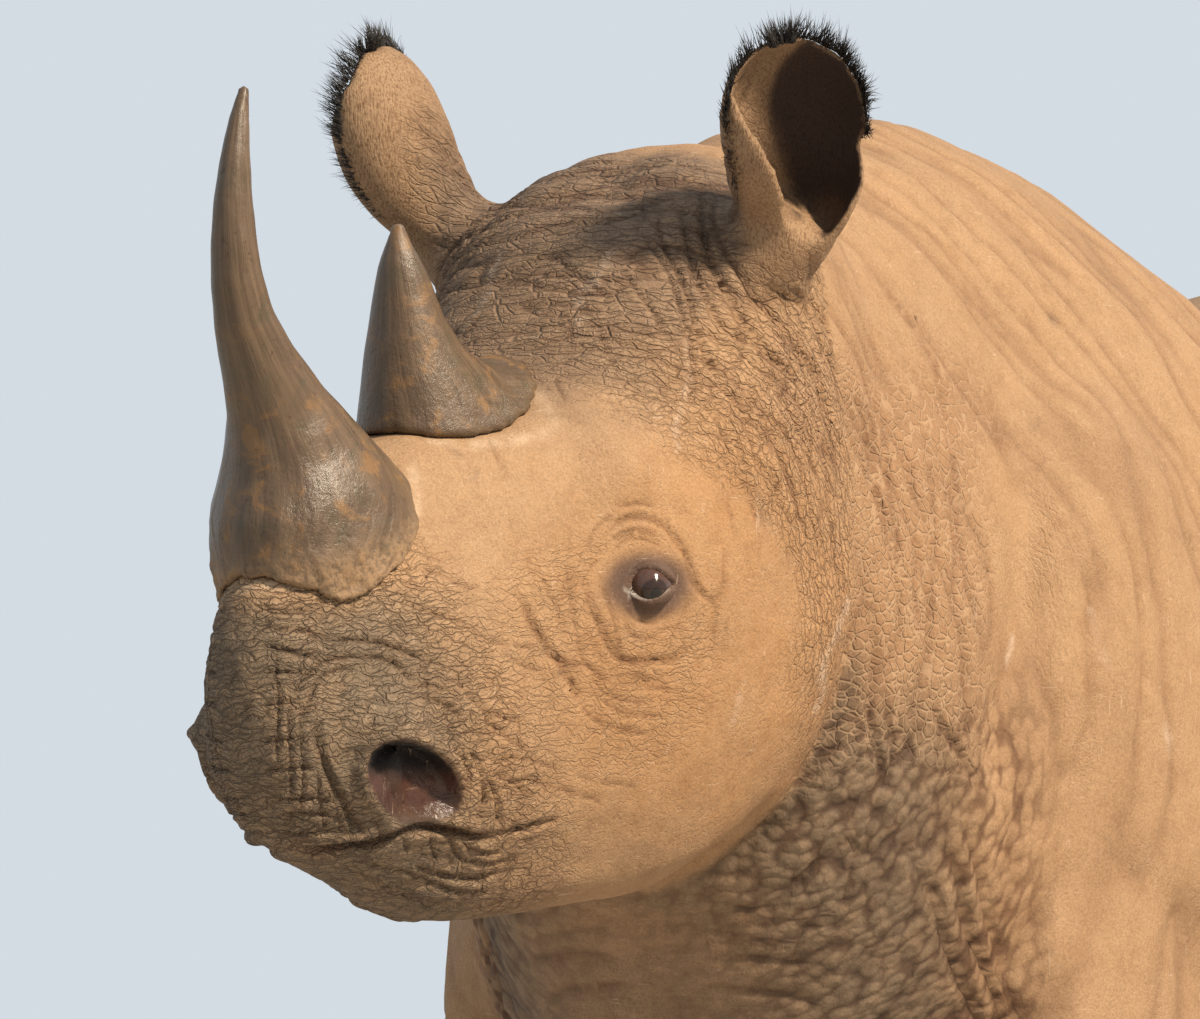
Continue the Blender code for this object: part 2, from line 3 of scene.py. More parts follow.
import bmesh
import bpy
import numpy as np
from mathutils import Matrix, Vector


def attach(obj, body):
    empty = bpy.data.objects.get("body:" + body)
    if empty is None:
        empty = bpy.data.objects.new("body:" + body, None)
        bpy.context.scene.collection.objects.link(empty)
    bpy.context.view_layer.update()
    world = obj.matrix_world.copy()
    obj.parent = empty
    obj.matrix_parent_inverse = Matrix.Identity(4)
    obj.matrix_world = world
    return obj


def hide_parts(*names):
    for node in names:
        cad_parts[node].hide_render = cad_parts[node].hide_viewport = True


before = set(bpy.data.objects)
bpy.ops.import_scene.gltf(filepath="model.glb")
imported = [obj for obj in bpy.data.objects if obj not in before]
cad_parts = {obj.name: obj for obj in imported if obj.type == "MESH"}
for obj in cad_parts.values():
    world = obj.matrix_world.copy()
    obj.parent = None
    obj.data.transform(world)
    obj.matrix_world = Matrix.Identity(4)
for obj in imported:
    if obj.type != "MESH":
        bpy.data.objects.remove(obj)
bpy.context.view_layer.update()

scene = bpy.context.scene
scene.view_settings.view_transform = "Standard"
sides = {"left": 1, "right": -1}


# where the camera stands, and the head's own axes

camera = {
    "place": (-12.8436, -5.0612, 1.2964),
    "turn": -67.0,  # degrees about Z, level
    "lens": 518.7,
    "wide": 1200,
    "high": 1019,
}
head = {"place": (-0.8709, 0.004, 1.490), "yaw": 10.0, "pitch": 37.3}


def setCamera(opts):
    data = bpy.data.cameras.new("camera")
    data.lens = opts["lens"]
    data.sensor_width = 36.0
    data.sensor_fit = "HORIZONTAL"
    data.clip_start = 0.5
    data.clip_end = 200.0
    made = bpy.data.objects.new("camera", data)
    scene.collection.objects.link(made)
    made.location = opts["place"]
    made.rotation_euler = (math.radians(90), 0, math.radians(opts["turn"]))
    scene.camera = made


def headAxes(opts):
    yaw, pitch = math.radians(opts["yaw"]), math.radians(opts["pitch"])
    ahead = np.array([-math.cos(yaw), math.sin(yaw), 0.0])
    up = np.array([0.0, 0.0, 1.0])
    along = math.cos(pitch) * ahead - math.sin(pitch) * up
    above = math.sin(pitch) * ahead + math.cos(pitch) * up
    return np.array([along, above, np.cross(up, ahead)])


headTurn = headAxes(head)
headPlace = np.array(head["place"])


def inHead(spots):  # along the muzzle, above it, and to the animal's left
    return (spots - headPlace) @ headTurn.T


def fromHead(spots):
    return np.asarray(spots, float) @ headTurn + headPlace


def seenAt(spots):  # where spots stand in the camera's view, in pixels of 1200 x 1019
    turn = math.radians(camera["turn"])
    ahead = np.array([-math.sin(turn), math.cos(turn), 0.0])
    right = np.array([math.cos(turn), math.sin(turn), 0.0])
    away = spots - np.array(camera["place"])
    depth = away @ ahead
    zoom = camera["lens"] / 36.0 * camera["wide"]
    across = camera["wide"] / 2 + zoom * (away @ right) / depth
    down = camera["high"] / 2 - zoom * away[:, 2] / depth
    return across, down


def step(low, high, value):
    t = np.clip((value - low) / (high - low), 0.0, 1.0)
    return t * t * (3 - 2 * t)


def nearSide(spots):  # the far half folded onto the near half, so that both sides are worked alike
    own = inHead(spots)
    byBody = spots.copy()
    byBody[:, 1] = -np.abs(byBody[:, 1])
    share = step(-0.16, -0.02, own[:, 0])[:, None]
    own[:, 2] = np.abs(own[:, 2])
    return byBody * (1 - share) + fromHead(own) * share


# noise for working the skin

def cornerWay(x, y, z, seed):  # a steady random direction for each corner of the grid
    with np.errstate(over="ignore"):
        mix = x.astype(np.uint32) * np.uint32(374761393)
        mix = mix + y.astype(np.uint32) * np.uint32(668265263)
        mix = mix + z.astype(np.uint32) * np.uint32(2246822519) + np.uint32(seed * 26699)
        mix = (mix ^ (mix >> np.uint32(13))) * np.uint32(1274126177)
        mix = mix ^ (mix >> np.uint32(16))
    parts = [(mix >> np.uint32(shift)) & np.uint32(1023) for shift in (0, 10, 20)]
    return [part.astype(np.float32) / 511.5 - 1 for part in parts]


def noiseAt(spots, size, seed=1):  # smooth noise, about -1 to 1, with a grid of the given size or sizes
    scaled = (spots / np.asarray(size, float)).astype(np.float32) + 1000
    low = np.floor(scaled).astype(np.int64)
    part = scaled - low
    ease = part * part * part * (part * (part * 6 - 15) + 10)
    total = np.zeros(len(spots), np.float32)
    for dx in (0, 1):
        for dy in (0, 1):
            for dz in (0, 1):
                way = cornerWay(low[:, 0] + dx, low[:, 1] + dy, low[:, 2] + dz, seed)
                dot = way[0] * (part[:, 0] - dx) + way[1] * (part[:, 1] - dy) + way[2] * (part[:, 2] - dz)
                share = np.abs(1 - dx - ease[:, 0]) * np.abs(1 - dy - ease[:, 1]) * np.abs(1 - dz - ease[:, 2])
                total += dot * share
    return total * 1.4


def rolls(spots, size, seed, sharp=0.16):  # rounded rolls with narrow creases between them, 0 in a crease to 1
    return 1 - np.exp(-np.abs(noiseAt(spots, size, seed)) / sharp)


# the run of the skin's folds: rings about the head that widen back over the neck and trunk

folds = {"centre": (0.36, -0.10), "round": 0.50}


def lieAt(spots):
    centre = fromHead((*folds["centre"], 0.0))
    x, z = spots[:, 0] - centre[0], spots[:, 2] - centre[2]
    reach = np.hypot(x, z)
    return np.stack([reach, np.arctan2(z, x) * folds["round"], spots[:, 1]], axis=1)


# creases with a place of their own: (depth mm, half width mm, lean, points in the camera's view)
# lean is how much more the skin swells on the right of the line than on the left, as it runs

eyeCreases = [
    (2.4, 2.2, 0.0, [(609, 533), (614, 526), (624, 520), (640, 518), (655, 521), (667, 529), (676, 541),
        (686, 555), (690, 570), (695, 584), (702, 593), (712, 601), (714, 609)]),
    (1.0, 1.2, 0.0, [(618, 507), (632, 504), (644, 504), (656, 507)]),
    (1.0, 1.2, 0.0, [(589, 552), (590, 540), (597, 527), (607, 519), (616, 511)]),
    (0.9, 1.2, 0.0, [(611, 541), (618, 533), (630, 529), (646, 530), (660, 537)]),
    (0.7, 1.0, 0.0, [(613, 551), (622, 543), (635, 539), (650, 541), (664, 549)]),
    (3.0, 2.6, 0.3, [(584, 577), (588, 595), (594, 613), (603, 633), (612, 651), (621, 659), (633, 662),
        (652, 661), (673, 659), (688, 650)]),
    (1.6, 1.3, 0.0, [(603, 586), (607, 601), (614, 621), (618, 641), (621, 657)]),
    (1.1, 1.2, 0.0, [(589, 573), (592, 565), (600, 560)]),
    (1.0, 1.2, 0.0, [(689, 603), (681, 620), (674, 636), (668, 650)]),
    (1.6, 1.5, 0.0, [(714, 606), (722, 590), (724, 570), (725, 547)]),
    (1.4, 1.5, 0.0, [(713, 607), (715, 621), (712, 644), (708, 662)]),
    (0.8, 1.2, 0.0, [(724, 655), (725, 636), (728, 620)]),
    (1.5, 1.5, 0.0, [(721, 478), (726, 500), (732, 520), (735, 535), (733, 548)]),
    (1.5, 1.5, 0.0, [(738, 462), (746, 488), (753, 510), (759, 533), (758, 560)]),
    (1.2, 1.4, 0.0, [(566, 560), (569, 583), (572, 605), (575, 625), (579, 644), (584, 661), (594, 670),
        (608, 680)]),
    (1.0, 1.3, 0.0, [(560, 659), (571, 667), (585, 671)]),
    (1.8, 1.5, 0.0, [(586, 668), (600, 687), (612, 696), (632, 702), (650, 703)]),
    (1.1, 1.3, 0.0, [(630, 664), (643, 679), (658, 687), (676, 690)]),
    (1.4, 1.2, 0.0, [(624, 600), (628, 611), (638, 620), (652, 623), (664, 618), (672, 610)]),
    (1.3, 1.2, 0.0, [(624, 620), (631, 634), (644, 639), (659, 636), (672, 624)]),
    (3.2, 2.8, 0.2, [(522, 602), (530, 620), (542, 640), (552, 655), (561, 664), (571, 682), (579, 703)]),
    (1.6, 1.5, 0.0, [(552, 655), (566, 662), (585, 665), (600, 676), (612, 684)]),
    (1.6, 1.5, 0.0, [(512, 592), (525, 604), (533, 618)]),
    (1.4, 1.4, 0.0, [(540, 572), (549, 590), (556, 606), (561, 622), (568, 640)]),
    (1.4, 1.4, 0.0, [(509, 643), (524, 647), (540, 651), (554, 658)]),
    (1.3, 1.4, 0.0, [(500, 652), (515, 660), (530, 668), (541, 672)]),
    (1.5, 1.5, 0.0, [(579, 703), (592, 716), (610, 727), (632, 732), (655, 734)]),
    (1.2, 1.4, 0.0, [(590, 690), (605, 700), (620, 712), (646, 716), (672, 717)]),
    (1.0, 1.4, 0.0, [(576, 775), (590, 780), (604, 782), (622, 784), (640, 786)]),
    (1.2, 1.4, 0.0, [(545, 797), (565, 796), (582, 796), (603, 801)]),
    (1.2, 1.4, 0.0, [(527, 778), (545, 785), (566, 790), (585, 795)]),
]
browCreases = [
    (2.6, 2.2, 0.2, [(680, 205), (684, 231), (692, 262), (700, 286), (716, 317), (726, 329), (742, 341),
        (752, 349)]),
    (2.4, 2.0, 0.0, [(658, 205), (660, 238), (674, 265), (689, 301), (694, 327), (703, 348), (716, 374),
        (731, 395), (750, 421), (762, 444)]),
    (2.0, 1.8, 0.0, [(635, 225), (653, 249), (669, 272), (679, 306), (687, 327), (692, 352), (692, 382),
        (688, 408)]),
    (1.6, 1.6, 0.0, [(618, 262), (637, 291), (653, 312), (671, 345)]),
    (3.0, 2.4, 0.2, [(700, 178), (702, 218), (705, 244), (716, 272), (731, 299), (747, 327), (763, 348),
        (784, 369), (799, 390)]),
    (2.2, 2.0, 0.0, [(717, 190), (713, 218), (721, 246), (737, 272), (752, 296), (771, 317), (789, 338),
        (812, 367), (824, 397)]),
    (1.6, 1.6, 0.0, [(640, 178), (641, 200), (645, 222)]),
    (1.8, 1.7, 0.0, [(778, 291), (794, 301), (812, 312), (826, 324)]),
    (1.6, 1.6, 0.0, [(786, 286), (803, 298), (818, 308), (828, 316)]),
    (1.6, 1.6, 0.0, [(710, 392), (726, 421), (737, 445), (747, 469), (752, 497)]),
    (1.4, 1.6, 0.0, [(692, 388), (712, 413), (726, 439), (734, 469)]),
    (1.4, 1.6, 0.0, [(760, 440), (770, 463), (777, 490), (780, 510)]),
    (1.0, 1.5, 0.0, [(598, 320), (603, 343), (614, 367), (623, 369)]),
    (0.9, 1.3, 0.0, [(570, 312), (571, 326), (572, 340)]),
    (1.2, 1.6, 0.0, [(545, 250), (570, 268), (590, 285), (610, 297)]),
    (1.0, 1.5, 0.0, [(554, 378), (560, 390), (566, 402)]),
    (1.2, 1.5, 0.0, [(489, 438), (496, 455), (504, 473)]),
    (1.4, 1.6, 0.0, [(770, 330), (788, 345), (808, 362), (822, 380)]),
]
muzzleCreases = [
    (2.0, 1.9, 0.0, [(262, 607), (277, 612), (300, 611), (318, 605)]),
    (2.0, 1.9, 0.0, [(262, 628), (277, 629), (302, 631), (323, 638), (343, 640), (374, 642), (397, 649),
        (422, 659), (456, 672)]),
    (2.0, 1.8, 0.0, [(262, 646), (277, 648), (295, 652), (313, 657), (322, 661)]),
    (1.6, 1.6, 0.0, [(262, 673), (282, 672), (306, 674)]),
    (1.6, 1.6, 0.0, [(262, 706), (275, 704), (290, 703), (303, 704)]),
    (1.6, 1.6, 0.0, [(262, 742), (275, 741), (292, 739), (301, 736)]),
    (1.8, 1.6, 0.0, [(262, 772), (282, 770), (302, 768), (319, 767)]),
    (1.6, 1.6, 0.0, [(270, 801), (287, 800), (308, 799), (323, 800), (339, 803)]),
    (1.5, 1.6, 0.0, [(276, 817), (290, 815), (308, 814), (333, 816), (352, 818)]),
    (1.2, 1.4, 0.0, [(282, 832), (300, 834), (325, 833), (345, 830)]),
    (2.0, 1.8, 0.3, [(296, 702), (297, 690), (308, 675), (323, 663), (343, 658), (369, 658), (392, 662),
        (404, 672), (417, 685), (435, 687), (458, 693)]),
    (1.8, 1.8, 0.3, [(306, 726), (304, 714), (309, 703), (313, 690), (323, 677), (338, 670), (356, 668)]),
    (1.2, 1.6, 0.0, [(372, 683), (392, 690), (420, 697), (450, 708), (465, 722)]),
    (2.2, 2.8, -0.3, [(316, 722), (319, 742), (324, 764), (333, 784), (345, 806), (356, 824), (368, 838)]),
    (1.1, 1.3, 0.0, [(278, 640), (277, 672), (279, 703), (277, 739), (279, 770)]),
    (1.2, 1.3, 0.0, [(300, 700), (302, 746), (304, 772), (302, 800), (301, 815)]),
    (1.2, 1.3, 0.0, [(317, 745), (318, 764), (319, 790), (323, 815), (326, 832)]),
    (1.0, 1.2, 0.0, [(289, 700), (290, 740), (291, 772), (291, 800)]),
    (1.1, 1.3, 0.0, [(344, 808), (350, 822), (352, 840)]),
    (1.0, 1.3, 0.0, [(332, 790), (338, 812), (341, 832)]),
    (1.1, 1.4, 0.0, [(377, 822), (380, 838), (386, 848)]),
    (1.2, 1.4, 0.0, [(398, 826), (404, 842), (408, 852)]),
    (1.4, 1.4, 0.0, [(427, 832), (432, 846), (438, 862)]),
    (1.4, 1.4, 0.0, [(447, 832), (452, 845), (459, 857), (469, 865)]),
    (1.5, 1.5, 0.0, [(460, 838), (471, 849), (484, 854), (504, 854)]),
    (1.4, 1.5, 0.0, [(468, 860), (484, 866), (506, 862), (524, 856)]),
    (2.2, 1.8, 0.0, [(415, 866), (433, 874), (455, 877), (477, 878), (500, 872)]),
    (1.4, 1.6, 0.0, [(352, 858), (380, 868), (405, 872), (430, 882), (462, 890), (500, 887)]),
    (1.3, 1.6, 0.0, [(344, 870), (372, 880), (400, 893), (440, 899), (490, 897)]),
    (1.4, 1.5, 0.0, [(462, 795), (468, 780), (466, 765), (456, 748)]),
    (1.6, 1.6, 0.0, [(474, 826), (482, 806), (484, 786), (478, 764), (468, 748)]),
    (1.6, 1.6, 0.0, [(497, 826), (498, 806), (492, 788), (486, 774)]),
    (1.2, 1.5, 0.0, [(486, 772), (500, 776), (518, 786), (530, 800)]),
    (1.4, 1.6, 0.0, [(452, 672), (466, 690), (480, 706), (497, 716), (520, 722)]),
    (1.1, 1.5, 0.0, [(478, 705), (490, 722), (510, 740), (534, 752)]),
    (1.1, 1.5, 0.0, [(490, 764), (512, 758), (536, 762), (560, 770)]),
    (1.2, 1.5, 0.0, [(500, 790), (520, 780), (545, 782)]),
    (1.2, 1.6, 0.0, [(416, 568), (440, 574), (462, 586), (480, 588)]),
    (1.2, 1.6, 0.0, [(400, 600), (430, 612), (460, 622), (490, 640), (515, 648)]),
]
mouthLine = [(6.5, 3.0, -0.35, [(296, 852), (313, 852), (330, 849), (349, 846), (369, 844), (387, 837), (400, 831),
        (415, 829), (435, 828), (456, 831), (476, 837), (498, 836)]),
             (2.6, 1.8, 0.0, [(494, 836), (519, 830), (540, 824), (560, 819)])]
neckCreases = [
    (2.4, 2.2, 0.0, [(859, 257), (887, 293), (915, 330), (937, 375), (948, 420), (954, 464), (957, 521),
        (954, 577), (950, 620)]),
    (3.2, 2.2, 0.0, [(864, 397), (873, 431), (873, 464), (877, 493), (885, 515), (890, 545)]),
    (3.0, 2.2, 0.0, [(880, 415), (886, 450), (888, 480), (892, 510), (898, 543), (898, 580)]),
    (2.0, 2.0, 0.0, [(903, 440), (912, 479), (915, 515), (917, 549), (915, 590), (922, 640)]),
    (2.0, 2.0, 0.0, [(852, 391), (862, 415), (868, 450), (866, 490)]),
    (1.6, 2.0, 0.0, [(925, 430), (931, 480), (934, 530), (933, 590), (928, 650)]),
    (9.0, 15.0, 0.0, [(1022, 470), (1030, 520), (1028, 580), (1020, 640), (1008, 700), (1000, 750), (990, 800)]),
    (3.0, 2.4, 0.0, [(880, 640), (874, 672), (869, 704), (872, 732), (879, 761), (884, 790)]),
    (2.4, 2.2, 0.0, [(884, 690), (891, 735), (892, 765), (880, 800), (868, 835), (860, 870)]),
    (3.0, 2.6, 0.0, [(931, 704), (942, 732), (965, 761), (977, 782), (990, 800)]),
    (4.0, 3.4, 0.0, [(966, 820), (974, 857), (981, 882), (987, 914), (1000, 960), (1012, 1000), (1024, 1040)]),
    (4.4, 3.6, 0.0, [(952, 840), (958, 882), (965, 921), (981, 959), (993, 990), (1004, 1030)]),
    (4.0, 3.4, 0.0, [(930, 880), (938, 915), (946, 946), (961, 984), (977, 1020), (990, 1060)]),
    (2.6, 2.6, 0.0, [(904, 841), (923, 876), (936, 910)]),
    (2.2, 2.4, 0.0, [(840, 830), (856, 850), (850, 880), (842, 900)]),
    (3.0, 2.8, 0.0, [(820, 860), (800, 880), (770, 905), (740, 912)]),
    (3.0, 2.6, 0.0, [(700, 958), (740, 956), (780, 960), (822, 966)]),
    (2.6, 2.6, 0.0, [(694, 930), (730, 934), (770, 940), (805, 944)]),
    (2.6, 2.6, 0.0, [(700, 985), (745, 990), (790, 996), (830, 1010)]),
    (2.4, 2.6, 0.0, [(720, 900), (760, 916), (800, 920), (850, 910)]),
]


def smoothLine(points, steps=4):
    points = np.asarray(points, float)
    before, after = 2 * points[0] - points[1], 2 * points[-1] - points[-2]
    run = np.vstack([before, points, after])
    made = []
    for i in range(1, len(run) - 2):
        a, b, c, d = run[i - 1], run[i], run[i + 1], run[i + 2]
        for t in np.arange(steps) / steps:
            made.append(0.5 * (2 * b + (c - a) * t + (2 * a - 5 * b + 4 * c - d) * t * t + (3 * b - a - 3 * c + d)
                    * t ** 3))
    made.append(run[-2])
    return np.array(made)


def toLine(across, down, line):  # distance, share of the way along, and side, for each spot
    best = np.full(len(across), 1e9)
    share, side = np.zeros(len(across)), np.zeros(len(across))
    for i in range(len(line) - 1):
        ax, ay = line[i]
        bx, by = line[i + 1] - line[i]
        t = np.clip(((across - ax) * bx + (down - ay) * by) / (bx * bx + by * by + 1e-9), 0, 1)
        dx, dy = across - ax - bx * t, down - ay - by * t
        gap = np.hypot(dx, dy)
        closer = gap < best
        best[closer] = gap[closer]
        share[closer] = ((i + t) / (len(line) - 1))[closer]
        side[closer] = np.sign(bx * dy - by * dx)[closer]
    return best, share, side


jawEdge = [(838, 380), (848, 450), (852, 530), (850, 600), (833, 690), (794, 780), (752, 828), (702, 868),
        (640, 893), (560, 900), (430, 915)]


def behindJaw(across, down):  # pixels past the edge of the jaw, on the neck's side
    gap, _, side = toLine(across, down, smoothLine(jawEdge, 3))
    return gap * side


def creaseField(across, down, strokes, strength):
    height = np.zeros(len(across))
    dark = np.zeros(len(across))
    mm = 1.33  # pixels in a millimetre at the head
    for depth, half, lean, points in strokes:
        line = smoothLine(points)
        margin = half * mm * 6
        low, high = line.min(axis=0) - margin, line.max(axis=0) + margin
        near = (across > low[0]) & (across < high[0]) & (down > low[1]) & (down < high[1]) & (strength > 0.02)
        near = np.nonzero(near)[0]
        if not len(near):
            continue
        gap, share, side = toLine(across[near], down[near], line)
        gap = gap / mm
        taper = np.minimum(1, np.minimum(share, 1 - share) / 0.16) ** 0.7
        groove = np.exp(-((gap / half) ** 2))
        lips = np.exp(-(((gap - 2.3 * half) / (1.5 * half)) ** 2)) * (1 + lean * side)
        fade = taper * strength[near]
        height[near] += (-depth * groove + 0.34 * depth * lips) * fade * 0.001
        # painted shade: the grooves of the narrower creases are darkened
        if half < 6:
            dark[near] = np.maximum(dark[near], groove * fade * min(1, 0.35 + depth * 0.10))
    return height, dark


# the ears: their middle lines in the head's axes, and the cup round each line with its front rim rolled in

ear = {
    "line": [(0.004, -0.012, 0.104), (0.000, 0.006, 0.138), (-0.006, 0.036, 0.162), (-0.012, 0.075, 0.180),
        (-0.024, 0.124, 0.189), (-0.038, 0.165, 0.191)],
    # share of the line, depth, half width, front rim and rear rim in degrees from the back
    "cup": [(0.20, 0.032, 0.035, 168, 168), (0.36, 0.036, 0.040, 168, 158), (0.50, 0.042, 0.048, 160, 130),
        (0.64, 0.047, 0.055, 142, 98),
            (0.78, 0.044, 0.056, 118, 84), (0.90, 0.034, 0.046, 92, 74), (0.97, 0.022, 0.028, 78, 66),
                (1.00, 0.012, 0.010, 70, 60)],
    "turn": {"left": 48, "right": 82},
    "wall": 0.0066,
    "notch": {"at": 0.60, "half": 0.055, "cut": 30},  # in the left ear's rear rim
}


def earMiddle(sign):
    line = np.array(ear["line"]) * (1, 1, sign)
    return fromHead(smoothLine(line, 6))


def earSection(side, share):  # middle, axis, mouth and way to the rear rim, with the cup's sizes there
    sign = sides[side]
    middle = earMiddle(sign)
    turn = -math.radians(head["yaw"]) + sign * math.radians(ear["turn"][side])
    facing = np.array([-math.cos(turn), -math.sin(turn), 0.0])
    reach = share * (len(middle) - 1)
    i = min(int(reach), len(middle) - 2)
    place = middle[i] + (middle[i + 1] - middle[i]) * (reach - i)
    axis = middle[min(i + 3, len(middle) - 1)] - middle[max(i - 2, 0)]
    axis = axis / np.linalg.norm(axis)
    sizes = [float(np.interp(share, [row[0] for row in ear["cup"]], [row[k] for row in ear["cup"]])) for k in (1,
            2, 3, 4)]
    if side == "left":
        gap = abs(share - ear["notch"]["at"]) / ear["notch"]["half"]
        sizes[3] -= ear["notch"]["cut"] * max(0.0, 1 - gap)
    mouth = facing - axis * (facing @ axis)
    mouth = mouth / np.linalg.norm(mouth)
    return place, axis, mouth, np.cross(mouth, axis) * -sign, sizes


def earSpot(section, across):  # across runs from -1 at the front rim to 1 at the rear rim
    place, axis, mouth, rimWay, (deep, wide, front, rear) = section
    angle = math.radians(rear if across > 0 else front) * across
    rolled = 1 - 0.30 * float(step(1.35, 2.6, np.array(-angle)))
    return place + mouth * (-math.cos(angle) * deep * rolled) + rimWay * math.sin(angle) * wide * rolled


def earRim(side, front):  # points up one rim of the ear, with the way out of the leaf
    made = []
    for share in np.linspace(0.30, 1.0, 44):
        section = earSection(side, share)
        end = -1.0 if front else 1.0
        at, before = earSpot(section, end), earSpot(section, end * 0.94)
        tangent = (at - before) / np.linalg.norm(at - before)
        if front:  # the hair on the rolled rim stands out from its turn
            turned = earSpot(section, -min(1.0, 92 / section[4][2]))
            before = earSpot(section, -min(0.9, 60 / section[4][2]))
            at, tangent = turned, (turned - before) / np.linalg.norm(turned - before)
        made.append((share, at, tangent, section[1], section[2]))
    return made


def earLeaf(side, acrossSteps=44, upSteps=48):
    leaf = bmesh.new()
    bmesh.ops.create_grid(leaf, x_segments=acrossSteps, y_segments=upSteps, size=1)
    sections = {}
    for vert in leaf.verts:
        key = round(vert.co.y, 4)
        if key not in sections:
            sections[key] = earSection(side, 0.22 + 0.78 * math.sin((vert.co.y + 1) / 4 * math.pi) ** 0.9)
        vert.co = Vector(earSpot(sections[key], max(-1.0, min(1.0, vert.co.x))))
    mesh = bpy.data.meshes.new("leaf")
    leaf.to_mesh(mesh)
    leaf.free()
    made = newObject("leaf", mesh)
    wall = made.modifiers.new("wall", "SOLIDIFY")
    wall.thickness = ear["wall"]
    wall.offset = 0
    return applied(made)


# the skin: every node of flesh joined in one

skinShape = {
    "voxel": 0.0046,
    "quickVoxel": 0.0085,
    "swell": 0.0007,  # closes the hairline gaps between the nodes
    "inside": 0.0006,  # the skin lies this far within the flesh
    "trianglesKept": 196000,
    "quickKept": 90000,
}
fleshNodes = ["head", "neck", "trunk", "tail"]
for side in sides:
    fleshNodes += [f"{part}_{side}" for part in ("ear", "foreleg", "forefoot", "hindleg", "hindfoot")]


def newObject(name, mesh):
    made = bpy.data.objects.new(name, mesh)
    scene.collection.objects.link(made)
    return made


def coordsOf(mesh):
    flat = np.empty(len(mesh.vertices) * 3, np.float32)
    mesh.vertices.foreach_get("co", flat)
    return flat.reshape(-1, 3).astype(float)


def setCoords(mesh, coords):
    mesh.vertices.foreach_set("co", np.ascontiguousarray(coords, np.float32).ravel())
    mesh.update()


def normalsOf(mesh):
    flat = np.empty(len(mesh.vertices) * 3, np.float32)
    mesh.vertices.foreach_get("normal", flat)
    return flat.reshape(-1, 3).astype(float)


def edgesOf(mesh):
    flat = np.empty(len(mesh.edges) * 2, np.int32)
    mesh.edges.foreach_get("vertices", flat)
    return flat.reshape(-1, 2)


def spread(values, edges, rounds, weight=0.5):  # evens values out over neighbouring vertices
    count = len(values)
    degree = np.bincount(edges.ravel(), minlength=count)
    degree = np.maximum(degree, 1)
    weight = np.broadcast_to(weight, (count,))
    columns = [values] if values.ndim == 1 else [values[:, i].copy() for i in range(values.shape[1])]
    a, b = edges[:, 0], edges[:, 1]
    for _ in range(rounds):
        for i, column in enumerate(columns):
            total = np.bincount(a, column[b], count) + np.bincount(b, column[a], count)
            columns[i] = column + weight * (total / degree - column)
    return columns[0] if values.ndim == 1 else np.stack(columns, axis=1)


def applied(source):
    graph = bpy.context.evaluated_depsgraph_get()
    mesh = bpy.data.meshes.new_from_object(source.evaluated_get(graph), depsgraph=graph)
    bpy.data.objects.remove(source)
    return mesh


def joinedFlesh(opts):
    gathered = bmesh.new()
    for side in sides:
        gathered.from_mesh(earLeaf(side))
    for name in [*fleshNodes, "eye_left", "eye_right"]:
        if name.startswith("ear_"):
            continue  # the leaves above stand for them
        part = bmesh.new()
        part.from_mesh(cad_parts[name].data)
        bmesh.ops.remove_doubles(part, verts=part.verts, dist=2e-5)
        part.normal_update()
        for vert in part.verts:
            vert.co += vert.normal * opts["swell"]
        mesh = bpy.data.meshes.new("part")
        part.to_mesh(mesh)
        part.free()
        gathered.from_mesh(mesh)
        bpy.data.meshes.remove(mesh)
    mesh = bpy.data.meshes.new("flesh")
    gathered.to_mesh(mesh)
    gathered.free()
    rough = newObject("flesh", mesh)
    join = rough.modifiers.new("join", "REMESH")
    join.mode = "VOXEL"
    join.voxel_size = opts["voxel"]
    return applied(rough)


def headShare(spots):  # 1 on the head, 0 on the body
    own = inHead(spots)
    return step(-0.20, -0.04, own[:, 0])


def earShare(spots):
    own = inHead(spots)
    return step(0.125, 0.155, np.abs(own[:, 2])) * step(-0.02, 0.03, own[:, 1]) * step(0.16, 0.12,
            np.abs(own[:, 0]))


def evened(mesh):  # the facets go, and what shrank is given back
    start = coordsOf(mesh)
    edges = edgesOf(mesh)
    scale = 0.0046 / skinShape["voxel"]
    onHead, onEar = headShare(start), earShare(start)
    weight = 0.62 * (1 - 0.80 * onHead) * (1 - 0.75 * onEar)
    feet = step(0.16, 0.06, start[:, 2])
    weight = weight * (1 - 0.6 * feet)
    rounds = int(150 / scale ** 2)
    moved = spread(start, edges, rounds, weight)
    setCoords(mesh, moved)
    way = normalsOf(mesh)
    lost = spread(((start - moved) * way).sum(axis=1), edges, rounds // 3, weight)
    moved = moved + way * (lost * (1 - onEar))[:, None]
    setCoords(mesh, moved)


def refined(mesh, wanted):  # splits the faces whose vertices are all wanted
    fine = bmesh.new()
    fine.from_mesh(mesh)
    fine.verts.ensure_lookup_table()
    chosen = [edge for edge in fine.edges if wanted[edge.verts[0].index] and wanted[edge.verts[1].index]]
    bmesh.ops.subdivide_edges(fine, edges=chosen, cuts=1, use_grid_fill=True)
    fine.to_mesh(mesh)
    fine.free()


def eyeCentre(sign):
    return fromHead((eyes["along"], eyes["above"], sign * eyes["beside"]))


eyes = {
    "along": 0.289, "above": -0.093, "beside": 0.136,
    "radius": 0.0180,
    "lid": 0.0022,  # thickness of the lids over the eyeball
    "inner": (621, 583), "outer": (670, 584),  # corners of the opening, in the camera's view
    "top": 570.0, "low": 596.0,
}


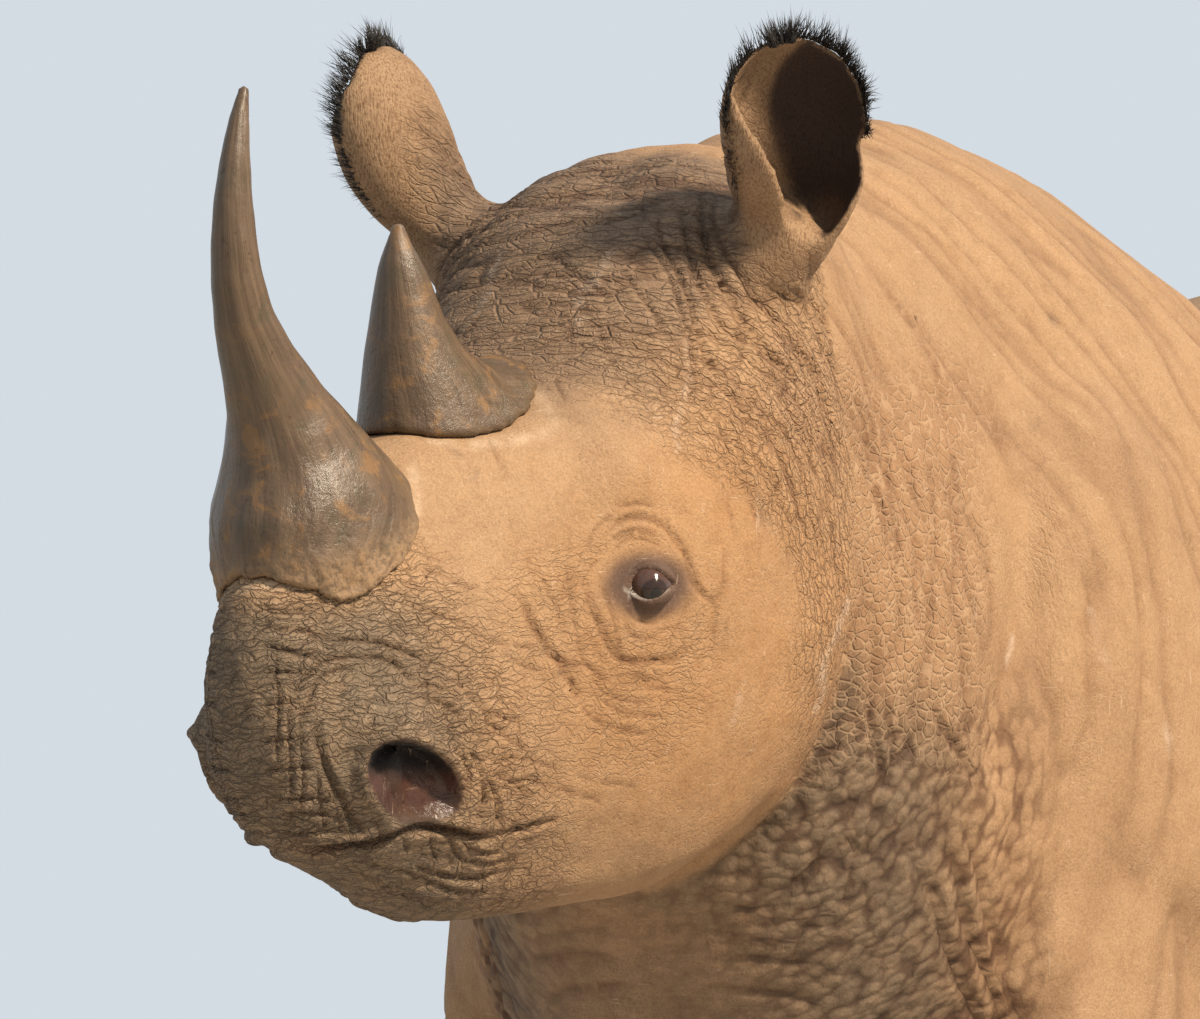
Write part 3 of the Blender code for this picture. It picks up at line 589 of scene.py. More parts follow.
def eyeOpening(across, down):  # above 0 inside the opening, in pixels
    (x0, y0), (x1, y1) = eyes["inner"], eyes["outer"]
    t = np.clip((across - x0) / (x1 - x0), -0.5, 1.5)
    hump = np.where((t > 0) & (t < 1), np.sin(np.pi * np.clip(t, 0, 1) ** 0.95) ** 0.8, 0.0)
    middle = y0 + (y1 - y0) * t
    top = middle - (middle - eyes["top"]) * hump
    low = middle + (eyes["low"] - middle) * hump
    inside = np.minimum(down - top, low - down)
    beyond = np.maximum(x0 - across, across - x1)
    return np.where(beyond > 0, -np.hypot(beyond, down - middle), inside)


def openEyes(spots):
    own = inHead(spots)
    across, down = seenAt(nearSide(spots))
    for sign in sides.values():
        centre = eyeCentre(sign)
        away = spots - centre
        far = np.linalg.norm(away, axis=1)
        near = np.nonzero((far < 0.045) & (own[:, 2] * sign > 0))[0]
        gap = eyeOpening(across[near], down[near])
        way = away[near] / far[near][:, None]
        radius = eyes["radius"]
        over = radius + eyes["lid"] + 0.0012 * np.exp(-((gap + 4.0) / 4.0) ** 2)
        mixed = step(0.040, 0.021, far[near]) * step(-26, -12, gap)
        over = far[near] * (1 - mixed) + np.maximum(over, 0) * mixed
        under = radius - 0.0045
        opened = step(-1.4, 1.4, gap)
        wanted = over * (1 - opened) + under * opened
        spots[near] = centre + way * wanted[:, None]
    return spots


nostril = {
    "rim": [(366, 766), (371, 752), (383, 743), (400, 739), (415, 741), (428, 746), (441, 756), (453, 768),
        (461, 782),
            (463, 798), (458, 812), (446, 820), (430, 826), (413, 828), (398, 823), (386, 813), (376, 799),
                (368, 783), (366, 766)],
    "deep": 0.030,
    "shallow": 0.004,
}


def nostrilField(across, down):  # pixels inside the rim, above 0 within
    rim = np.array(nostril["rim"], float)
    gap, _, _ = toLine(across, down, rim)
    inside = np.zeros(len(across), bool)
    for (ax, ay), (bx, by) in zip(rim[:-1], rim[1:]):
        crosses = ((ay > down) != (by > down)) & (across < (bx - ax) * (down - ay) / (by - ay + 1e-9) + ax)
        inside ^= crosses
    return np.where(inside, gap, -gap)


def nostrilWork(across, down, strength):
    near = np.nonzero((across > 340) & (across < 490) & (down > 710) & (down < 850) & (strength > 0))[0]
    height, within = np.zeros(len(across)), np.zeros(len(across))
    gap = nostrilField(across[near], down[near])
    fall = np.clip((down[near] - 739) / 88, 0, 1)
    deep = nostril["deep"] * (1 - fall) ** 1.5 + nostril["shallow"] * fall + 0.002
    soft = 4 + 16 * fall
    hollow = step(0, 1, gap / soft)
    lip = np.exp(-((gap + 5) / 7) ** 2) * (gap < 3)
    height[near] = (-deep * hollow + 0.0032 * lip) * strength[near]
    within[near] = step(-1.5, 2.5, gap) * strength[near]
    return height, within


def regions(spots):  # shares of the body's regions that the folds and colours follow
    own = inHead(spots)
    near = nearSide(spots)
    across, down = seenAt(near)
    beside = np.abs(own[:, 2])
    onHead = step(-0.14, -0.08, own[:, 0]) * step(-0.48, -0.40, own[:, 1])
    onEar = earShare(spots)
    x, z = spots[:, 0], spots[:, 2]
    onLeg = step(0.80, 0.66, z)
    lie = lieAt(spots)
    past = -behindJaw(across, down)
    ahead = step(-0.02, -0.14, x) * step(0.30, 0.22, own[:, 0]) * (1 - onEar)
    neck = np.clip(ahead * step(-6, 8, past) * step(0.66, 0.80, z) * step(200, 300, down), 0, 1)
    neck = np.maximum(neck, step(-0.14, -0.20, x) * step(-0.04, -0.10, own[:, 0]) * (1 - onLeg) * (1 - onEar))
    onHead = onHead * (1 - neck)
    return {
        "past": past, "own": own, "across": across, "down": down, "beside": beside,
        "head": onHead, "ear": onEar, "leg": onLeg, "lie": lie,
        "neck": neck,
        "trunk": step(-0.30, -0.12, x) * (1 - onLeg),
        "muzzle": step(0.44, 0.52, own[:, 0]),
    }


sculpt = {  # heights in metres
    "fine": 0.0036, "tiny": 0.0006, "broad": 0.0042, "overhang": 0.0090, "jaw": 0.0045, "crest": 0.0125,
    "swell": 0.0060, "dimple": 0.0030, "wide": 0.0026, "bands": 0.0026, "furrow": 0.0012, "lump": 0.0016,
        "pimple": 0.0008,
    "eyeCreases": 1.0, "otherCreases": 1.45,  # times the depth that the lists give
}


def sculptHeight(spots, place):  # how far each vertex moves along its normal, and how dark its creases are
    lie, own = place["lie"], place["own"]
    across, down = place["across"], place["down"]
    hide = (1 - place["ear"])
    # dark is painted shade, laid in the creases between the rolls and in the grooves of the strokes
    height, dark = np.zeros(len(spots)), np.zeros(len(spots))

    warp = 0.010 * noiseAt(spots, 0.07, 3) + 0.004 * noiseAt(spots, 0.025, 4)
    ring = np.stack([lie[:, 0] + warp, lie[:, 1], lie[:, 2]], axis=1)

    back = step(0.22, 0.10, own[:, 0]) * step(-0.20, -0.10, own[:, 0]) * place["head"] * hide
    back *= step(-0.30, -0.10, own[:, 1]) * 0.75 + 0.25
    fine = rolls(ring, (0.017, 0.16, 0.10), 11, 0.13)
    height += sculpt["fine"] * (fine - 0.75) * back
    dark = np.maximum(dark, (1 - fine) ** 2 * back * 0.70)
    tiny = rolls(ring, (0.007, 0.05, 0.035), 12)
    height += sculpt["tiny"] * (tiny - 0.75) * np.maximum(back, place["neck"] * 0.6)

    neck = place["neck"]
    broad = rolls(ring, (0.034, 0.26, 0.20), 13, 0.2)
    height += sculpt["broad"] * (broad - 0.72) * neck
    dark = np.maximum(dark, (1 - broad) ** 2 * neck * 0.40)
    overhang = np.exp(-((place["past"] - 9) / 12) ** 2) * step(560, 700, down) * step(0.10, 0.04,
            -spots[:, 0] - 1.2)
    height -= sculpt["overhang"] * overhang * step(0.5, 1.0, neck)
    height += sculpt["jaw"] * np.exp(-((place["past"] + 14) / 16) ** 2) * step(560, 720, down) * place["head"]
    crest = np.exp(-((across - 598) / 55) ** 2) * step(225, 175, down) * step(-0.45, -0.60, spots[:, 0])
    height -= sculpt["crest"] * crest

    trunk = place["trunk"]
    height += (sculpt["swell"] * noiseAt(spots, (0.34, 0.30, 0.42), 14) + sculpt["dimple"] * noiseAt(spots,
            (0.11, 0.12, 0.20), 15)) * trunk
    wide = rolls(ring, (0.075, 0.55, 0.40), 16, 0.22)
    height += sculpt["wide"] * (wide - 0.72) * trunk

    leg = place["leg"]
    hoop = np.stack([spots[:, 2] + warp, spots[:, 0], spots[:, 1]], axis=1)
    knee = np.exp(-((spots[:, 2] - 0.42) / 0.10) ** 2) + np.exp(-((spots[:, 2] - 0.13) / 0.06) ** 2)
    bands = rolls(hoop, (0.022, 0.11, 0.11), 17)
    height += sculpt["bands"] * (bands - 0.75) * leg * (0.25 + 0.75 * np.clip(knee, 0, 1)) * step(0.02, 0.06,
            spots[:, 2])
    dark = np.maximum(dark, (1 - bands) ** 2 * leg * 0.3)

    height += (sculpt["lump"] * noiseAt(spots, 0.045, 18) + sculpt["pimple"] * noiseAt(spots, 0.016,
            19)) * place["head"] * hide

    side = place["head"] * hide
    for strokes in (eyeCreases, browCreases, muzzleCreases, mouthLine):
        moved, shade = creaseField(across, down, strokes, side)
        height += moved * sculpt["eyeCreases" if strokes is eyeCreases else "otherCreases"]
        dark = np.maximum(dark, shade)
    furrow = rolls(spots + 0.004 * noiseAt(spots, 0.02, 21)[:, None], (0.020, 0.020, 0.013), 22, 0.10)
    snout = step(0.40, 0.50, own[:, 0]) * side * step(0.02, -0.03, own[:, 1])
    height += sculpt["furrow"] * (furrow - 0.8) * snout
    dark = np.maximum(dark, (1 - furrow) ** 2 * snout * 0.35)
    moved, shade = creaseField(across, down, neckCreases, np.maximum(neck,
            0.9 * step(-0.02, -0.14, spots[:, 0]) * (1 - place["head"])) * step(0.15, -0.05, spots[:, 0]))
    height += moved
    dark = np.maximum(dark, shade)
    moved, within = nostrilWork(across, down, side)
    height += moved
    return height, dark, within


def thinnable(spots):  # 1 where the skin may be thinned freely
    own = inHead(spots)
    across, down = seenAt(nearSide(spots))
    onHead = step(-0.14, -0.06, own[:, 0]) * step(-0.50, -0.40, own[:, 1])
    nearEye = onHead * step(75, 35, np.hypot(across - 646, down - 585))
    nearNose = onHead * step(0.44, 0.50, own[:, 0])
    neck = step(-0.10, -0.30, spots[:, 0]) * (1 - onHead)
    return 1 - np.maximum.reduce([0.62 * onHead, 0.93 * nearEye, 0.78 * nearNose, 0.35 * neck])


def makeSkin(opts):
    mesh = joinedFlesh(opts)
    print("flesh joined:", len(mesh.vertices), "vertices")
    evened(mesh)
    print("flesh evened")
    spots = coordsOf(mesh)
    own = inHead(spots)
    refined(mesh, (own[:, 0] > -0.13) & (own[:, 1] > -0.45))
    spots = coordsOf(mesh)
    own = inHead(spots)
    across, down = seenAt(nearSide(spots))
    eyeZone = (np.hypot(across - 646, down - 590) < 95) & (own[:, 0] > 0.15)
    noseZone = (own[:, 0] > 0.46)
    refined(mesh, (eyeZone | noseZone) & (own[:, 1] > -0.45))
    mesh.update()
    print("head refined:", len(mesh.vertices), "vertices")
    spots = coordsOf(mesh)
    edges = edgesOf(mesh)
    spots = spread(spots, edges, 3, 0.5 * (1 - 0.9 * earShare(spots)))
    setCoords(mesh, spots)
    way = normalsOf(mesh)
    place = regions(spots)
    height, _, _ = sculptHeight(spots, place)
    moved = spots + way * (height - opts["inside"])[:, None]
    moved = openEyes(moved)
    setCoords(mesh, moved)
    print("skin worked")
    rough = newObject("skinRough", mesh)
    group = rough.vertex_groups.new(name="thin")
    weights = np.round(thinnable(moved), 2)
    for value in np.unique(weights):
        group.add(np.nonzero(weights == value)[0].tolist(), float(value), "REPLACE")
    thin = rough.modifiers.new("thin", "DECIMATE")
    thin.vertex_group = "thin"
    thin.vertex_group_factor = 1.0
    triangles = sum(len(face.vertices) - 2 for face in mesh.polygons)
    thin.ratio = opts["trianglesKept"] / triangles
    mesh = applied(rough)
    mesh.name = "skin"
    mesh.shade_smooth()
    skin = newObject("skin", mesh)
    print("skin thinned:", len(mesh.polygons), "faces")
    return skin


def putField(mesh, name, values, kind="FLOAT"):
    layer = mesh.attributes.new(name, kind, "POINT")
    key = {"FLOAT": "value", "FLOAT_VECTOR": "vector", "FLOAT_COLOR": "color"}[kind]
    layer.data.foreach_set(key, np.ascontiguousarray(values, np.float32).ravel())


hideTints = {
    "body": (0.260, 0.154, 0.078),
    "cheek": (0.276, 0.148, 0.064),
    "brow": (0.142, 0.092, 0.058),
    # the muzzle and throat tints are partly the hide's own darker colour and partly painted shade, and the chest
    # tint is painted shade
    "muzzle": (0.126, 0.090, 0.056),
    "throatAndShade": (0.120, 0.083, 0.051),
    "paintedChestShade": (0.104, 0.061, 0.037),
    "leg": (0.192, 0.128, 0.080),
    "foot": (0.132, 0.100, 0.074),
    "lid": (0.082, 0.046, 0.030),
    "rim": (0.240, 0.204, 0.172),
    "nostril": (0.088, 0.036, 0.022),
    "earOut": (0.232, 0.144, 0.078),
    "earIn": (0.024, 0.012, 0.007),
    "crust": (0.400, 0.290, 0.190),
    "scar": (0.470, 0.370, 0.285),
    "mark": (0.060, 0.036, 0.024),
}


def paintSkin(skin):
    mesh = skin.data
    spots = coordsOf(mesh)
    way = normalsOf(mesh)
    place = regions(spots)
    _, dark, within = sculptHeight(spots, place)
    own, across, down = place["own"], place["across"], place["down"]
    patch = noiseAt(spots, 0.09, 31) * 0.5 + noiseAt(spots, 0.035, 32) * 0.3
    tint = np.tile(np.array(hideTints["body"]), (len(spots), 1))

    def lay(name, share):
        nonlocal tint
        share = np.clip(share, 0, 1)[:, None]
        tint = tint * (1 - share) + np.array(hideTints[name]) * share

    onHead, hide = place["head"], 1 - place["ear"]
    low = step(0.95, 0.45, spots[:, 2] + 0.06 * patch)
    lay("leg", low * 0.9)
    lay("foot", step(0.34, 0.10, spots[:, 2] + 0.05 * patch))
    # painted shade: the chest below the head is given a dark brown tint in place of the shadow that lies there
    paintedChestShade = step(1.02, 0.86, spots[:, 2] + 0.05 * patch) * step(-0.10, -0.30, spots[:, 0]) * (1 - onHead)
    lay("paintedChestShade", paintedChestShade * step(0.30, 0.10, np.abs(spots[:, 1])) * 0.9)
    # the throat tint is partly the lower neck's own darker hide and partly painted shade of the head's shadow on
    # the throat
    throatAndShade = place["neck"] * step(640, 760, down + 50 * patch) * step(1010, 900, across + 40 * patch)
    lay("throatAndShade", throatAndShade * 0.92)
    # painted shadow: a dark band on the neck just behind the jaw's edge, where the jaw overhangs it
    lay("throatAndShade", place["neck"] * np.exp(-((place["past"] - 12) / 16) ** 2) * step(600, 720, down))
    lay("cheek", onHead * step(1.25, 0.55, np.hypot((across - 715) / 190, (down - 640) / 230) + 0.25 * patch) * 0.9)
    # the crown's brow tint is the forehead's own greyish brown and partly the painted shadow that the near ear
    # casts on the crown
    lay("brow", onHead * hide * step(330, 215, down + 70 * patch) * step(430, 480, across + 60 * patch))
    lay("brow", onHead * hide * step(0.30, 0.18, own[:, 0] + 0.08 * patch) * step(-0.02, 0.03,
            own[:, 1] + 0.05 * patch) * 0.75)
    # the muzzle tint is the muzzle's own grey-brown, laid darker than that as painted shade of the muzzle's shaded
    # front and of the lower lip
    lay("muzzle", onHead * step(520, 380, across + 60 * patch) * step(570, 640, down + 30 * patch))
    lay("muzzle", onHead * step(600, 450, across + 60 * patch) * step(780, 840, down + 40 * patch) * 0.6)
    round_ = np.hypot((across - 646) / 40, (down - 586) / 30)
    lay("lid", onHead * step(1.45, 0.75, round_ + 0.25 * patch))
    marked = 0.55 + 0.9 * noiseAt(spots, 0.012, 35)
    for name, half, share, points in marks:
        gap = toLine(across, down, smoothLine(points, 3))[0]
        lay(name, share * np.exp(-(gap / half) ** 2) * np.clip(marked, 0, 1) * hide)
    lidGap = eyeOpening(across, down)
    lay("rim", onHead * step(-4.5, -2.0, lidGap) * step(584, 590, down) * (round_ < 1.6) * (lidGap < 1))
    lay("mark", onHead * np.exp(-((lidGap + 1.2) / 1.6) ** 2) * step(592, 584, down) * (round_ < 1.5) * 0.9)
    # painted shadow: the lower jaw just below the overhanging upper lip is darkened
    lay("throatAndShade", onHead * step(842, 862, down) * step(500, 440, across) * 0.7)
    # painted shadow: the top of the nostril, under its overhanging rim, is darkened almost to black, and the rest
    # of the hollow is darkened by nearly half as painted shade
    nostrilTopShadow = within * step(800, 752, down)
    lay("nostril", within * step(835, 800, down))
    tint *= (1 - 0.94 * step(0.15, 0.9, nostrilTopShadow))[:, None]
    tint *= (1 - 0.45 * within * (1 - nostrilTopShadow))[:, None]

    onEar = place["ear"]
    inner = np.zeros(len(spots))
    for sign in sides.values():
        centre = earMiddle(sign)
        pick = np.nonzero((onEar > 0.01) & (own[:, 2] * sign > 0))[0]
        if not len(pick):
            continue
        gaps = ((spots[pick][:, None, :] - centre[None, :, :]) ** 2).sum(axis=2)
        nearest = centre[gaps.argmin(axis=1)]
        out = spots[pick] - nearest
        out /= np.linalg.norm(out, axis=1)[:, None] + 1e-9
        inner[pick] = step(0.15, -0.35, (out * way[pick]).sum(axis=1))
    # the inner tint is the ear's own dark inner skin and partly painted shade: on the near ear it is laid fully
    # only past a line drawn in the camera's view, where the cavity lies in shade, and lightly elsewhere
    gap, _, beside = toLine(across, down, smoothLine(cavityEdge, 3))
    earCavityDarkAndShade = inner * np.where(own[:, 2] > 0, np.maximum(step(-4, 9, -gap * beside), 0.25), 1.0)
    lay("earOut", onEar)
    lay("earIn", onEar * earCavityDarkAndShade)

    tone = 1 + 0.10 * noiseAt(spots, 0.22, 33) + 0.08 * noiseAt(spots, 0.06, 34)
    tint = np.clip(tint * tone[:, None], 0.002, 1)
    full = np.ones((len(spots), 4))
    full[:, :3] = tint
    putField(mesh, "hideTint", full, "FLOAT_COLOR")
    putField(mesh, "lie", place["lie"], "FLOAT_VECTOR")
    # painted shade: the darkness of the creases is kept for the material
    putField(mesh, "creaseShade", dark)
    cells = place["neck"] * step(300, 420, down + 50 * patch) * step(1020, 950, across + 30 * patch) * step(800,
            700, down + 60 * patch)
    cells = np.maximum(cells, 0.55 * place["trunk"] * step(700, 830, down + 40 * patch) * step(0.30, 0.05,
            spots[:, 0]))
    cells = np.maximum(cells, 0.40 * step(0.20, -0.05, spots[:, 0]) * step(-0.40, -0.24,
            spots[:, 0]) * (1 - place["leg"]) * step(380, 520, down))
    cells = np.maximum(cells, onHead * hide * step(740, 800, across + 20 * patch) * step(300, 360,
            down) * step(470, 420, down) * 0.8)
    putField(mesh, "cells", np.clip(cells, 0, 1))
    pebbles = place["neck"] * step(660, 760, down + 40 * patch) * step(1080, 1000, across)
    putField(mesh, "pebbles", np.clip(pebbles, 0, 1))
    furrows = onHead * hide * step(0.40, 0.48, own[:, 0])
    ringed = onHead * hide * 0.75 * step(0.25, 0.14, own[:, 0]) * step(0.95, 1.15,
            np.hypot((across - 640) / 150, (down - 600) / 130))
    ringed = np.maximum(ringed, 0.45 * onHead * step(770, 830, across) * step(400, 460, down))
    putField(mesh, "ringed", np.clip(ringed, 0, 1))
    furrows = np.maximum(furrows, onHead * 0.8 * step(560, 470, across) * step(620, 700, down))
    furrows = np.maximum(furrows, onHead * 0.40 * step(1.0, 0.6,
            np.hypot((across - 590) / 160, (down - 660) / 150)) * step(1.3, 1.7, round_))
    furrows = np.maximum(furrows, 0.5 * low)
    putField(mesh, "furrows", np.clip(furrows, 0, 1))
    wet = np.maximum(within * (1 - nostrilTopShadow), onHead * step(-3.5, -1, lidGap) * step(580, 590, down) * (round_ < 2))
    putField(mesh, "wet", np.clip(wet, 0, 1))
    putField(mesh, "furred", onEar)
    putField(mesh, "dusty", np.clip(1 - np.maximum.reduce([onEar * earCavityDarkAndShade, within,
            onHead * step(1.5, 0.9, round_)]), 0, 1))


# marks laid on the hide: (tint, half width px, share, points in the camera's view)

marks = [
    ("crust", 6.0, 0.8, [(430, 440), (470, 443), (510, 441), (545, 433), (551, 415), (538, 395), (520, 384)]),
    ("crust", 6.0, 0.8, [(222, 586), (260, 586), (300, 583), (340, 576), (378, 562), (404, 536), (417, 505),
        (414, 470)]),
    ("mark", 3.0, 0.7, [(285, 586), (300, 592), (312, 588)]),
    ("mark", 3.5, 0.6, [(448, 448), (462, 458), (476, 470), (472, 486)]),
    ("mark", 4.5, 0.6, [(606, 250), (592, 278), (584, 300), (590, 330), (578, 345), (596, 372)]),
    ("scar", 3.2, 0.7, [(610, 250), (598, 276), (582, 292), (578, 318), (582, 336)]),
    ("scar", 2.4, 0.6, [(686, 345), (690, 372), (684, 400), (676, 425), (678, 450)]),
    ("scar", 2.6, 0.8, [(849, 599), (840, 622), (835, 640), (826, 655), (820, 680)]),
    ("scar", 2.6, 0.6, [(823, 660), (824, 690), (815, 712)]),
    ("scar", 2.0, 0.6, [(745, 680), (739, 700), (734, 722)]),
    ("scar", 2.2, 0.7, [(1013, 636), (1009, 652), (1005, 668)]),
    ("scar", 2.4, 0.8, [(1089, 608), (1096, 628), (1100, 640), (1104, 656)]),
    ("mark", 2.4, 0.5, [(1100, 634), (1107, 650), (1112, 664)]),
    ("scar", 2.0, 0.7, [(1163, 728), (1168, 738), (1172, 748)]),
    ("mark", 3.6, 0.9, [(1051, 316), (1053, 321)]),
    ("mark", 3.6, 0.9, [(1038, 425), (1039, 431)]),
    ("mark", 2.6, 0.8, [(557, 655), (562, 663), (560, 672)]),
    ("mark", 5.0, 0.4, [(748, 470), (756, 495), (764, 520)]),
]
# line in the camera's view past which the near ear's cavity is painted dark as shade
cavityEdge = [(800, 40), (778, 62), (766, 92), (765, 122), (773, 155), (783, 185), (791, 215), (797, 245),
        (802, 285)]


# material nodes

def addNode(tree, kind, feeds=None, **props):
    made = tree.nodes.new(kind)
    for name, value in props.items():
        setattr(made, name, value)
    for name, value in (feeds or {}).items():
        if isinstance(value, bpy.types.NodeSocket):
            tree.links.new(value, made.inputs[name])
        else:
            made.inputs[name].default_value = value
    return made


def newMaterial(name):
    material = bpy.data.materials.new(name)
    material.use_nodes = True
    tree = material.node_tree
    tree.nodes.clear()
    return material, tree


def maths(tree, operation, a, b=0.0, c=0.0, clamp=False):
    made = addNode(tree, "ShaderNodeMath", {0: a, 1: b, 2: c}, operation=operation, use_clamp=clamp)
    return made.outputs[0]


def times(tree, a, b):
    return maths(tree, "MULTIPLY", a, b)


def ranged(tree, value, low, high, to0=0.0, to1=1.0):
    made = addNode(tree, "ShaderNodeMapRange", {"Value": value, "From Min": low, "From Max": high, "To Min": to0,
            "To Max": to1},
                   interpolation_type="SMOOTHSTEP")
    return made.outputs[0]


def mixed(tree, share, a, b, blend="MIX"):
    made = addNode(tree, "ShaderNodeMix", data_type="RGBA", blend_type=blend)
    for index, value in ((0, share), (6, a), (7, b)):
        if isinstance(value, bpy.types.NodeSocket):
            tree.links.new(value, made.inputs[index])
        else:
            made.inputs[index].default_value = value if index == 0 else (*value, 1.0)
    return made.outputs[2]


def darkened(tree, colour, share):
    return mixed(tree, 1.0, colour, share, "MULTIPLY")


def scaled(tree, vector, sizes, turn=(0, 0, 0)):
    made = addNode(tree, "ShaderNodeMapping", {"Vector": vector, "Scale": sizes, "Rotation": turn})
    return made.outputs[0]


def noise(tree, vector, scale, detail=2.0, rough=0.5, twist=0.0):
    made = addNode(tree, "ShaderNodeTexNoise", {"Vector": vector, "Scale": scale, "Detail": detail,
            "Roughness": rough, "Distortion": twist})
    return made.outputs["Fac"]


def cellEdges(tree, vector, scale, loose=1.0):
    made = addNode(tree, "ShaderNodeTexVoronoi", {"Vector": vector, "Scale": scale, "Randomness": loose},
            feature="DISTANCE_TO_EDGE")
    return made.outputs["Distance"]


def cellCentres(tree, vector, scale, loose=1.0, smooth=None):
    if smooth is None:
        made = addNode(tree, "ShaderNodeTexVoronoi", {"Vector": vector, "Scale": scale, "Randomness": loose},
                feature="F1")
    else:
        made = addNode(tree, "ShaderNodeTexVoronoi", {"Vector": vector, "Scale": scale, "Randomness": loose,
                "Smoothness": smooth}, feature="SMOOTH_F1")
    return made.outputs["Distance"]


def field(tree, name, output="Fac"):
    return addNode(tree, "ShaderNodeAttribute", attribute_name=name).outputs[output]


def bumped(tree, height, strength, distance, under=None):
    feeds = {"Height": height, "Strength": strength, "Distance": distance}
    if under is not None:
        feeds["Normal"] = under
    return addNode(tree, "ShaderNodeBump", feeds).outputs["Normal"]


def surface(tree, colour, rough, normal=None, **sockets):
    shader = addNode(tree, "ShaderNodeBsdfPrincipled", {"Base Color": colour, "Roughness": rough})
    for name, value in sockets.items():
        shader.inputs[name.replace("_", " ")].default_value = value
    if normal is not None:
        tree.links.new(normal, shader.inputs["Normal"])
    out = addNode(tree, "ShaderNodeOutputMaterial")
    tree.links.new(shader.outputs[0], out.inputs["Surface"])
    return shader


hide = {
    "crack": (0.335, 0.220, 0.128),
    "dust": (0.320, 0.200, 0.110),
    "scar": (0.440, 0.330, 0.240),
    "cellSize": 0.0066,
    "pebbleSize": 0.0080,
}


